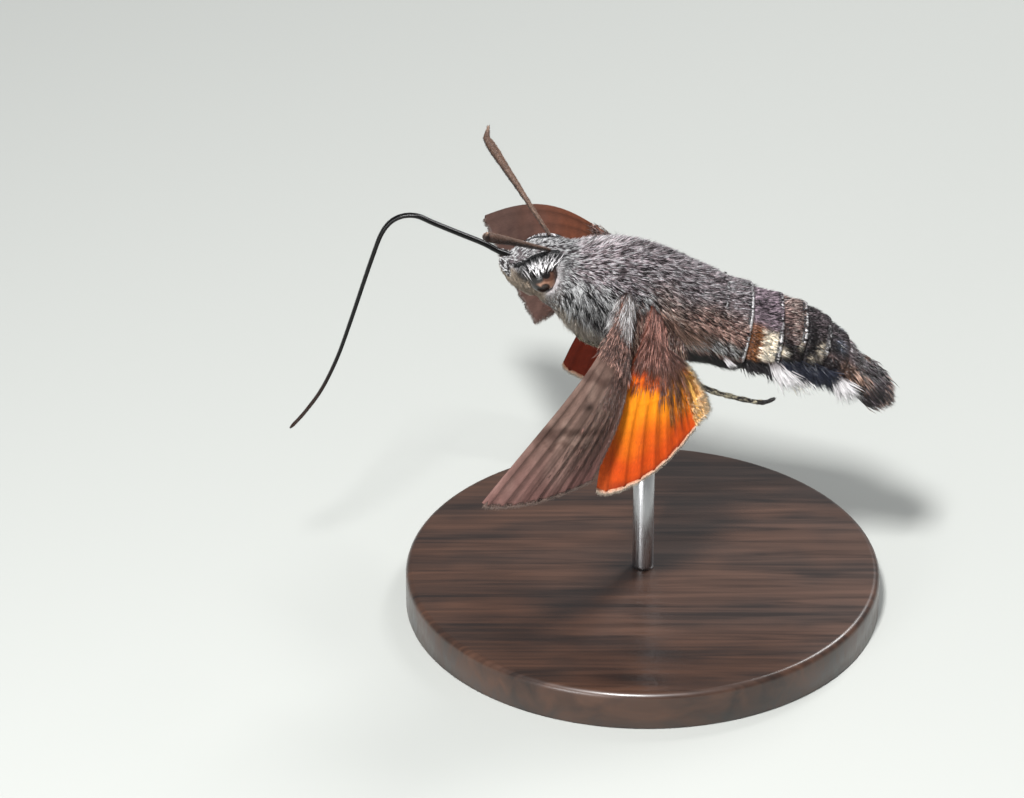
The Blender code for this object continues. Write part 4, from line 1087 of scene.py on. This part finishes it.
FRINGE = (lin(150, 128, 118), lin(60, 42, 36))
PALE_MARGIN = (lin(255, 244, 226), lin(170, 110, 76))
PALE_FRINGE = (PALE_MARGIN[0], lin(242, 190, 116))
HIND_ROOT = (lin(202, 148, 134), lin(66, 36, 29))
# Hair sets of a wing: count, from and to across and along it, direction across and along, length, width,
# tip and root colour, scatter, lift, and how far over the wing they start.
# Forewing: margin fringe, hind fringe, root hairs, pale shoulder and hind edge.
FORE_HAIRS = (
    (1400, (0.02, 1), (0.972, 0.986), 0, 1, 0.42, 0.04, FRINGE, 0.06, 0.0, 0.0),
    (1100, (0.97, 1), (0.05, 1), 1, 0.6, 0.35, 0.04, FRINGE, 0.1, 0.0, 0.0),
    (3000, (0.0, 1), (-0.04, 0.26), 0, 1, 1.0, 0.06, (lin(196, 152, 138), lin(48, 28, 24)), 0.1, 0.1, 0.35),
    (900, (0.0, 0.4), (-0.04, 0.06), 0, 1, 2.2, 0.07, (lin(236, 226, 222), lin(60, 50, 48)), 0.1, 0.12, 0.6),
    (2000, (0.4, 1), (0.2, 0.85), 0.1, 1, 0.7, 0.05, (lin(142, 106, 96), lin(50, 30, 26)), 0.1, 0.05, 0.0),
)
# Hindwing: margin fringe, lobe and inner fringe, the lobe's hairs, root hairs and the folds' hairs.
HIND_HAIRS = (
    (1500, (0.0, 0.86), (0.974, 0.986), 0, 1, 0.42, 0.035, PALE_MARGIN, 0.06, 0.0, 0.0),
    (700, (0.86, 1.0), (0.75, 0.99), 0.5, 1, 0.7, 0.04, PALE_FRINGE, 0.2, 0.0, 0.0),
    (500, (0.96, 1.0), (0.3, 0.9), 1, 0.6, 0.6, 0.04, PALE_FRINGE, 0.2, 0.0, 0.0),
    (950, (0.84, 1.0), (0.4, 0.9), 0.2, 1, 0.7, 0.04, (lin(236, 168, 74), lin(160, 92, 40)), 0.1, 0.08, 0.0),
    (3900, (0.0, 1.0), (-0.04, 0.24), 0, 1, 1.3, 0.055, HIND_ROOT, 0.07, 0.1, 0.3),
    (900, (0.1, 1.0), (0.16, 0.4), 0, 1, 1.1, 0.05, (lin(204, 134, 106), lin(84, 38, 20)), 0.06, 0.08, 0.0),
    (700, (0.45, 0.9), (0.16, 0.5), 0, 1, 1.6, 0.05, (lin(196, 142, 128), lin(52, 28, 24)), 0.05, 0.1, 0.0),
    (900, (0.0, 0.6), (0.2, 0.4), 0, 1, 0.8, 0.045, (lin(196, 92, 44), lin(96, 44, 24)), 0.07, 0.08, 0.0),
    (1600, (0.6, 0.97), (0.2, 0.72), 0, 1, 1.2, 0.04, (lin(230, 150, 78), lin(120, 60, 28)), 0.05, 0.08, 0.0),
    (300, (0.62, 0.82), (0.25, 0.55), 0, 1, 1.4, 0.04, (lin(96, 50, 34), lin(36, 18, 14)), 0.04, 0.1, 0.0),
)


def wing_hairs(name, wing, slot, sets, seed):
    """Make a wing's fringe and the hairs at its root, on both sides."""
    rng = np.random.RandomState(seed)
    rows = []
    for n, q_span, t_span, dq, dt, size, width, (tip_c, root_c), spread, rise, high in sets:
        q = rng.uniform(*q_span, n)
        t = t_span[0] + (t_span[1] - t_span[0]) * rng.rand(n) ** 1.5
        for sign in (1, -1):
            up = sign * (0.04 + high * rng.rand(n))
            p = wing.point(q, t, up)
            run = unit(wing.point(np.clip(q + dq * 0.02, 0, 1.2), t + dt * 0.02, up) - p)
            out = np.tile(wing.out * sign, (n, 1))
            run = run + rng.normal(size=(n, 3)) * spread + out * rise
            run = run + 0.16 * cell_push(p, 0.11, 11, 12, 13)
            if rise > 0:
                tone = three_tones(cell_pick(p, 0.11, 7), 0.4, 0.2, 0.7, 1.7, 0.6)
            else:
                tone = rng.uniform(0.75, 1.1, n)[:, None]
            uv = wing_map(np.clip(q, 0, 1), np.clip(t, 0, 1), sign < 0)
            length = size * rng.uniform(0.6, 1.1, n)
            rows.append((p, run, out, length, np.full(n, width), np.tile(root_c, (n, 1)), tip_c * tone, uv))
    p, run, out, length, width, base, end, uv = joined(rows)
    path = curve(p, run, out, length, 0.05)
    cols = [base, mix(base, end, 0.5), end]
    tufts(name, path, out, width * rng.uniform(0.8, 1.2, len(p)), cols, uv, slot)


# Each side's wings: root, tip and rear corner of both, and the forewing's front bow and arch.
WINGS = (
    ("left", 1, FORE_L, HIND_L, 0.5, 1.8),
    ("right", -1, FORE_R, HIND_R, 1.7, 1.0),
)
# The forewing's rear and outer bow, root width and camber.
FORE_BOWS = (0.0, 0.5)
FORE_ROOT = 2.5
FORE_CAMBER = 0.75
# The hindwing's bows, root width, camber and arch.
HIND_SHAPE = ((0.7, 0.5, 1.1), 2.1, 0.7, 0.0)


def wings():
    """Make the four wings with their hairs."""
    for side, turn, fore, hind, costa, arch in WINGS:
        one = Wing(fore, (costa, *FORE_BOWS), FORE_ROOT, FORE_CAMBER, arch, turn)
        two = Wing(hind, *HIND_SHAPE, turn)
        make_wing("forewing_vane_" + side, one, FORE_VEINS, fore_marks, 96, 104, "forewing",
                  "forewing_" + side, 0.1)
        make_wing("hindwing_vane_" + side, two, HIND_VEINS, hind_marks, 100, 90, "hindwing",
                  "hindwing_" + side, 0.2)
        wing_hairs("forewing_hair_" + side, one, "forewing", FORE_HAIRS, 81)
        wing_hairs("hindwing_hair_" + side, two, "hindwing", HIND_HAIRS, 83)


# Shoulder tufts: place along the body, degrees from the top, their spread, count, length, way, colours.
SHOULDER_TUFTS = (
    (-0.9, 84, 0.7, 8, 700, 1.9, (0.1, 0.55, -0.85), (lin(226, 218, 220), lin(40, 34, 36))),
    (0.2, 74, 1.0, 7, 900, 1.9, (0.4, 0.45, -0.8), (lin(206, 178, 170), lin(46, 30, 28))),
    (1.8, 78, 1.5, 8, 1300, 2.2, (0.6, 0.4, -0.75), (lin(206, 160, 142), lin(48, 26, 20))),
    (3.4, 86, 1.6, 9, 1000, 2.2, (0.85, 0.3, -0.6), (lin(206, 164, 146), lin(44, 26, 22))),
)
# Hairs that reach onto the hindwing: from and to across it, from and to along the body, and count.
REACHING = ((0.0, 0.5, -0.7, 1.6, 2600), (0.4, 1.0, 1.2, 3.6, 2000))
REACHING_HAIR = (lin(226, 170, 152), lin(40, 22, 18))


def shoulder_rows(p, run, out, size, colours, s, turn):
    """Give the shoulder hairs at places with their shared tone and push, ready to be joined."""
    run = unit(run + 0.25 * cell_push(p, 0.12, 15, 16, 17))
    tone = three_tones(cell_pick(p, 0.12, 14), 0.4, 0.15, 0.7, 1.7, 0.6)
    return p, run, out, size, np.tile(colours[1], (len(p), 1)), colours[0] * tone, body_map(s, turn)


def shoulder_tufts():
    """Make the long hair that covers the wings' roots from the body."""
    rng = np.random.RandomState(87)
    for side, flip, _, hind, _, _ in WINGS:
        wing = Wing(hind, *HIND_SHAPE, flip)
        rows = []
        for s0, a0, ds, da, count, size, way, colours in SHOULDER_TUFTS:
            s, turn = tuft_feet(rng, s0, a0, ds, da, count, flip)
            p, out = rooted(s, turn, 0.4, 0.5)
            run = unit(np.array(way) * (1, -flip, 1) + rng.normal(size=(count, 3)) * 0.12)
            length = size * rng.uniform(0.6, 1.05, count)
            rows.append(shoulder_rows(p, run, out, length, colours, s, turn))
        for q0, q1, s0, s1, count in REACHING:
            f = rng.rand(count)
            s = s0 + (s1 - s0) * f
            turn = np.radians(rng.uniform(74, 96, count)) * -flip
            p, out = rooted(s, turn, 0.3, 0.5)
            q = q0 + (q1 - q0) * np.clip(f + rng.normal(size=count) * 0.06, 0, 1)
            goal = wing.point(q, rng.uniform(0.2, 0.42, count), 0.25)
            far = np.linalg.norm(goal - p, axis=1)
            start = p + (goal - p) * (rng.rand(count) * 0.6)[:, None]
            length = np.minimum(far * 0.45, 2.0) * rng.uniform(0.6, 1.0, count)
            rows.append(shoulder_rows(start, unit(goal - p), out, length, REACHING_HAIR, s, turn))
        p, run, out, length, base, end, uv = joined(rows)
        path = curve(p, run, out, length, 0.1)
        cols = [base, mix(base, end, 0.6), end]
        tufts("shoulder_tufts_" + side, path, out, rng.uniform(0.06, 0.09, len(p)), cols, uv, "fur_brown")


EYE_RINGS = 60
EYE_SIDES = 90
# Blotches of the eyes: direction in the left eye's frame (back, out, up), size and strength.
EYE_BLOTCHES = (
    ((0.2, -0.84, 0.5), 0.3, 1.0),
    ((0.14, -0.93, -0.34), 0.3, 0.95),
    ((-0.36, -0.86, 0.37), 0.44, 1.0),
    ((-0.75, -0.6, 0.2), 0.6, 1.0),
    ((0.2, -0.6, -0.75), 0.42, 1.0),
    ((-0.4, -0.7, -0.55), 0.42, 1.0),
    ((0.3, -0.4, 0.85), 0.42, 1.0),
    ((0.88, -0.4, 0.0), 0.3, 0.7),
)


def eyes():
    """Make the two eyes, pale tan with dark blotches and black in front."""
    tilt = np.linspace(0.0, np.pi, EYE_RINGS)[:, None]
    turn = 2 * np.pi * np.arange(EYE_SIDES) / EYE_SIDES
    d = np.stack([np.sin(tilt) * np.cos(turn), np.sin(tilt) * np.sin(turn), np.cos(tilt) + 0 * turn], -1)
    for side, flip in SIDES:
        grid = EYE_AT * (1, flip, 1) + d * EYE_RADII
        v = (d * (1, flip, 1)).reshape(-1, 3)
        w = wobble(v, 4.0, 91)
        col = mix(lin(140, 106, 88), lin(74, 48, 37), step(-0.6, 0.3, w))
        for at, wide, dark in EYE_BLOTCHES:
            gap = np.arccos(np.clip(v @ unit(np.array(at)), -1, 1)) + 0.05 * w
            col = mix(col, lin(12, 8, 7), dark * (1 - step(wide * 0.75, wide * 1.15, gap)))
        col = mix(col, lin(26, 15, 10), step(0.62, 0.95, np.hypot(v[:, 0], v[:, 2])) * 0.85)
        place_piece(grid_object("eye_ball_" + side, grid, MAT_EYE, col, False), "eye", "eye_" + side)


# The left feeler's root on the head, its run, bend and hooked end, and the steps of its tube.
FEELER_ROOT = (-5.75, -1.3)
FEELER_RUN = np.array((-4.85, -6.8, 4.8))
FEELER_BEND = np.array((-0.03, 0.01, 0.06))
FEELER_HOOK = np.array((0.5, -0.2, 0.35))
FEELER_STEPS = 360
FEELER_SIDES = 18
FEELER_RINGS = 62


def feelers():
    """Make the ringed feelers, thicker towards their hooked ends."""
    at, wide = FEELER_ROOT
    z, half_w, half_h, dx, _ = spine(at)
    start = np.array((at, wide, z + half_h * math.sqrt(1 - (wide / half_w) ** 2) / dx))
    s = np.linspace(0, 1, FEELER_STEPS)
    hook = FEELER_HOOK * (np.maximum(s - 0.93, 0) / 0.07)[:, None]
    bend = FEELER_BEND * np.sin(np.pi * s)[:, None]
    path = start + FEELER_RUN * (s * 1.035 - 0.02)[:, None] + hook + bend
    radii = 0.1 + 0.21 * np.minimum(s / 0.8, 1) ** 1.3
    radii = np.where(s > 0.86, radii - 0.24 * (np.maximum(s - 0.86, 0) / 0.14) ** 1.3, radii)
    rings = 1 + 0.1 * np.abs(np.sin(np.pi * s * FEELER_RINGS))
    rng = np.random.RandomState(95)
    for side, flip in SIDES:
        line = path * (1, flip, 1)
        grid = tube_grid(line, radii * rings, FEELER_SIDES)[:, ::flip]
        out = unit(grid - line[:, None, :]).reshape(-1, 3)
        w = wobble(grid.reshape(-1, 3), 5.0, 97)
        along = np.repeat(s, FEELER_SIDES)
        col = layered(len(along), (34, 25, 21), (
            ((96, 74, 62), 0.8 * step(-0.1, 0.7, out[:, 2] + 0.3 * w)),
            ((30, 20, 18), 0.75 * (1 - step(0.02, 0.16, along))),
            ((66, 46, 38), 0.6 * step(0.5, 0.8, along)),
            ((150, 124, 106), 0.8 * step(0.955, 1.0, along)),
        ))
        place_piece(grid_object("feeler_" + side, grid, MAT_HORN, col), "feeler", "antenna_" + side)
        p, run, _, uv, i, _ = sample_grid(grid, 2600, rng)
        away = away_from(line, p, i)
        n = len(p)
        tone = rng.uniform(0.5, 1.4, n)[:, None]
        tip = mix(lin(58, 42, 36), lin(140, 110, 92), step(-0.2, 0.6, away[:, 2])) * tone
        run = run + away * 0.45 + rng.normal(size=(n, 3)) * 0.1
        hairs = curve(p, run, away, rng.uniform(0.1, 0.18, n))
        tufts("feeler_coat_" + side, hairs, away, 0.035, [tip * 0.4, tip * 0.7, tip], uv, "feeler")


# The tongue's middle line: back and up.
TONGUE_LINE = (
    (-8.6, 2.85), (-9.15, 3.06), (-9.6, 3.27), (-10.6, 3.86), (-12.58, 4.76), (-14.22, 5.52),
    (-15.4, 6.08), (-16.5, 6.05), (-17.4, 5.5), (-18.05, 4.5), (-18.6, 2.95), (-19.3, 0.75),
    (-20.4, -2.8), (-21.4, -5.8), (-22.6, -8.5), (-23.9, -10.5), (-25.05, -11.9),
)
TONGUE_STEPS = 800
TONGUE_SIDES = 18
TONGUE_RIBS = 190


def tongue():
    """Make the tongue: two ribbed halves side by side in one long tube."""
    path = smooth_path([(x, 0.0, z) for x, z in TONGUE_LINE], TONGUE_STEPS)
    s = np.linspace(0, 1, TONGUE_STEPS)
    radii = (0.225 - 0.085 * s) * np.where(s > 0.985, 1 - 0.6 * ((s - 0.985) / 0.015) ** 2, 1.0)
    cos = np.cos(2 * np.pi * np.arange(TONGUE_SIDES) / TONGUE_SIDES)
    groove = 1 - 0.2 * np.exp(-(cos - 1) ** 2 / 0.02) - 0.2 * np.exp(-(cos + 1) ** 2 / 0.02)
    ribs = 1 + 0.025 * np.sin(2 * np.pi * s * TONGUE_RIBS)
    grid = tube_grid(path, radii * ribs, TONGUE_SIDES, groove[None, :])
    col = mix(lin(3, 2, 2), lin(36, 21, 15), np.repeat(step(0.7, 1.0, s), TONGUE_SIDES))
    obj = grid_object("tongue", grid, MAT_TONGUE, col)
    place_piece(obj, "tongue", "proboscis_1", "proboscis_2", "proboscis_3")


# Middle lines of the left legs: place along the body, degrees from its underside, and lift off it.
LEGS = {
    "fore": ((-3.2, 24, 0.68), (-1.8, 33, 0.7), (-0.4, 36, 0.75), (1.0, 37, 0.8)),
    "mid": ((-1.2, 16, 0.68), (-0.2, 21, 0.85), (1.8, 20, 1.1), (3.4, 18, 1.35)),
    "hind": ((2.6, 30, 0.65), (4.0, 29, 1.0), (5.7, 23, 1.4), (7.6, 20.5, 2.05), (9.0, 19.5, 2.3),
             (10.4, 19, 2.45), (11.3, 19.5, 2.4), (12.1, 21, 2.0)),
}
# How far each leg is pressed into the coat, and the right hind leg's share of lift.
LEG_SINK = {"fore": 0.6, "mid": 0.55, "hind": 0.1}
LEG_HIND_R_LIFT = 0.6
LEG_LEAST_LIFT = 0.68
LEG_STEPS = 200
LEG_SIDES = 16
# Shares of pale flecks: the left legs show in the photo, and the right ones get fewer flecks as painted shade
# on the far side.
LEG_FLECKS_AND_SHADE = {"left": 0.45, "right": 0.15}


def legs():
    """Make the six legs with close scales and pale flecks."""
    rng = np.random.RandomState(101)
    s = np.linspace(0, 1, LEG_STEPS)
    radii = (0.27 - 0.13 * s ** 0.7) * np.where(s > 0.97, 1 - 0.5 * (s - 0.97) / 0.03, 1.0)
    knot = 1 + 0.12 * np.cos(2 * np.pi * s * 9) * step(0.45, 0.55, s)
    along = np.repeat(s, LEG_SIDES)
    for pair, rows in LEGS.items():
        for side, flip in SIDES:
            leg = pair + "_" + side
            drawn_up = LEG_HIND_R_LIFT if leg == "hind_right" else 1.0
            line = []
            for at, degrees, lift in rows:
                lift = max(lift * drawn_up, min(lift, LEG_LEAST_LIFT)) - LEG_SINK[pair]
                line.append(body_at(at, 180 + degrees, lift))
            path = smooth_path(line, LEG_STEPS) * (1, flip, 1)
            inward = unit(np.stack([0 * s, -path[:, 1], 0 * s + 2.0], 1))
            path = path + inward * (0.7 * (1 - step(0.0, 0.3, s)))[:, None]
            grid = tube_grid(path, radii * knot, LEG_SIDES)[:, ::flip]
            w = wobble(grid.reshape(-1, 3), 4.5, 103)
            pale = step(0.35, 0.6, w + 0.3 * np.cos(2 * np.pi * along * 14))
            col = layered(len(along), (26, 21, 18), (
                # Pale flecks, fewer on the right legs as painted shade.
                ((196, 186, 156), LEG_FLECKS_AND_SHADE[side] * pale),
                ((16, 13, 12), 0.9 * step(0.88, 0.94, along)),
            ))
            place_piece(grid_object("leg_limb_" + leg, grid, MAT_HORN, col), "leg", "leg_" + leg)
            p, run, _, uv, i, _ = sample_grid(grid, 1500, rng)
            out = away_from(path, p, i)
            n = len(p)
            # Pale hairs, fewer on the right legs as painted shade.
            light = (rng.rand(n) < LEG_FLECKS_AND_SHADE[side] * (1 - step(150, 185, i)))[:, None]
            end = np.where(light, lin(214, 204, 176), lin(34, 28, 26))
            run = run + out * 0.25 + rng.normal(size=(n, 3)) * 0.1
            hairs = curve(p, run, out, rng.uniform(0.14, 0.26, n))
            cols = [end * 0.4, end * 0.7, end]
            tufts("leg_coat_" + leg, hairs, out, rng.uniform(0.04, 0.06, n), cols, uv, "leg")


# Smooth shading stops at faces that lie this flat.
FLAT_FACE = 0.999


def lathe(name, profile, sides, mat, slot, node):
    """Turn a profile of radius and height into a closed smooth round piece."""
    turn = 2 * np.pi * np.arange(sides) / sides
    grid = np.array([[(r * math.cos(a), r * math.sin(a), z) for a in turn] for r, z in profile])
    obj = make_mesh(name, grid.reshape(-1, 3), ring_tris(len(profile), sides), mat, offset=np.zeros(3))
    for poly in obj.data.polygons:
        poly.use_smooth = abs(poly.normal.z) < FLAT_FACE
    place_piece(obj, slot, node)


def wood_material():
    """Make dark turned wood with fine grain under satin varnish."""
    made = Surface("dark_wood", Coat_Weight=0.3, Coat_Roughness=0.2)
    grain, rough = made.noise(made.stretched((70.0, 1500.0, 500.0)), 1.0, 9.0, 0.3, 0.46, Distortion=0.8)
    place = made.add("TexCoord").outputs["Object"]
    rings = made.add("TexWave", {"Vector": place, "Scale": 60.0, "Distortion": 9.0, "Detail": 4.0},
                     bands_direction="Y").outputs["Fac"]
    both = made.add("Mix", {"Factor": 0.18, 2: grain, 3: rings}).outputs[0]
    shade = made.ramp(both, (0.3, lin(30, 19, 14)), (0.75, lin(74, 48, 34)))
    made.feed(made.shader, {"Base Color": shade, "Roughness": rough})
    made.relief(grain, 0.15, GRAIN_RELIEF)
    return made.mat


def steel_material():
    """Make brushed steel, drawn along the rod."""
    made = Surface("rod_steel", Metallic=1.0)
    lines, rough = made.noise(made.stretched((9000.0, 9000.0, 260.0)), 1.0, 4.0, 0.22, 0.4)
    shade = made.ramp(lines, (0.0, (0.36, 0.36, 0.37)), (1.0, (0.6, 0.6, 0.61)))
    made.feed(made.shader, {"Base Color": shade, "Roughness": rough})
    return made.mat


BASE_RADIUS = 18.0
BASE_HEIGHT = 3.0
BASE_ROUND = 0.5
BASE_BEVEL = 0.1
BASE_SIDES = 180
# The flat top of the base starts this far inside its edge.
BASE_TOP_IN = 0.8
ROD_RADIUS = 0.8
ROD_SIDES = 48
# Where the rod enters the belly, how deep it goes in, and where its first ring stands over the base.
ROD_AT = 1.5
ROD_INTO_BELLY = 0.35
ROD_INTO_BASE = 0.1
ROD_FIRST_RING = 0.3


def stand():
    """Make the round base and the rod."""
    middle = (BASE_RADIUS - BASE_ROUND, BASE_HEIGHT - BASE_ROUND)
    edge = [(middle[0] + BASE_ROUND * math.cos(a), middle[1] + BASE_ROUND * math.sin(a))
            for a in np.linspace(0.15, math.pi / 2, 8)]
    base = [(BASE_RADIUS - BASE_BEVEL, 0.0), (BASE_RADIUS, BASE_BEVEL), (BASE_RADIUS, middle[1])]
    base += edge + [(BASE_RADIUS - BASE_TOP_IN, BASE_HEIGHT)]
    lathe("base_disc", base, BASE_SIDES, wood_material(), "stand_base", "stand_base")
    z, _, half_h, dx, _ = spine(ROD_AT)
    top = THORAX_AT[2] + float(z - half_h / dx) + ROD_INTO_BELLY
    heights = (BASE_HEIGHT - ROD_INTO_BASE, BASE_HEIGHT + ROD_FIRST_RING, top)
    profile = [(ROD_RADIUS, height) for height in heights]
    lathe("rod_shaft", profile, ROD_SIDES, steel_material(), "stand_rod", "stand_rod")


# Lamps: name, place from the thorax, size and power, in metres and watts.
LAMPS = (
    ("key", (-0.04, -0.17, 0.23), 0.04, 1.6),
    ("fill", (-0.14, -0.24, 0.04), 0.1, 0.36),
    ("rim", (0.12, 0.16, 0.2), 0.08, 0.5),
)
FLOOR_HALF = 3
SKY = (0.86, 0.9, 0.95, 1)
SKY_STRENGTH = 0.3
SENSOR = 36.0
FOCAL_PIXELS = 5360.0
PHOTO_WIDTH = 1024.0
# The camera looks down by this angle at a place off the thorax, from this distance in metres.
CAMERA_LEAN = math.radians(30)
CAMERA_AIM = (-8.43, 0.0, -9.39)
CAMERA_AWAY = 0.4


def link(obj):
    """Put an object in the scene."""
    bpy.context.scene.collection.objects.link(obj)


def stage():
    """Make the floor, the light and the camera."""
    scene = bpy.context.scene
    mesh = bpy.data.meshes.new("floor")
    corners = [(x * FLOOR_HALF, y * FLOOR_HALF, 0) for x, y in ((-1, -1), (1, -1), (1, 1), (-1, 1))]
    mesh.from_pydata(corners, [], [(0, 1, 2, 3)])
    mesh.materials.append(Surface("floor", Base_Color=(0.4, 0.41, 0.39, 1), Roughness=0.85).mat)
    floor = bpy.data.objects.new("floor", mesh)
    link(floor)
    scene.world = bpy.data.worlds.new("world")
    scene.world.use_nodes = True
    sky = scene.world.node_tree.nodes["Background"]
    sky.inputs["Color"].default_value = SKY
    sky.inputs["Strength"].default_value = SKY_STRENGTH
    aim = Vector(THORAX_AT * MM)
    for name, at, size, power in LAMPS:
        data = bpy.data.lights.new(name, "AREA")
        data.size = size
        data.energy = power
        lamp = bpy.data.objects.new(name, data)
        lamp.location = aim + Vector(at)
        lamp.rotation_mode = "QUATERNION"
        lamp.rotation_quaternion = (-Vector(at)).to_track_quat("-Z", "Y")
        link(lamp)
    data = bpy.data.cameras.new("camera")
    data.sensor_width = SENSOR
    data.lens = FOCAL_PIXELS * SENSOR / PHOTO_WIDTH
    data.clip_start = 0.01
    data.clip_end = 10.0
    camera = bpy.data.objects.new("camera", data)
    target = Vector((THORAX_AT + CAMERA_AIM) * MM)
    camera.location = target - CAMERA_AWAY * Vector((0, math.cos(CAMERA_LEAN), -math.sin(CAMERA_LEAN)))
    camera.rotation_euler = (math.pi / 2 - CAMERA_LEAN, 0.0, 0.0)
    link(camera)
    scene.camera = camera
    scene.view_settings.view_transform = "Standard"


body_fur(*body_skin())
ring_edges()
palps()
brow_line()
eye_lashes()
tail_fan()
side_tufts()
wings()
shoulder_tufts()
eyes()
feelers()
tongue()
legs()
stand()
stage()
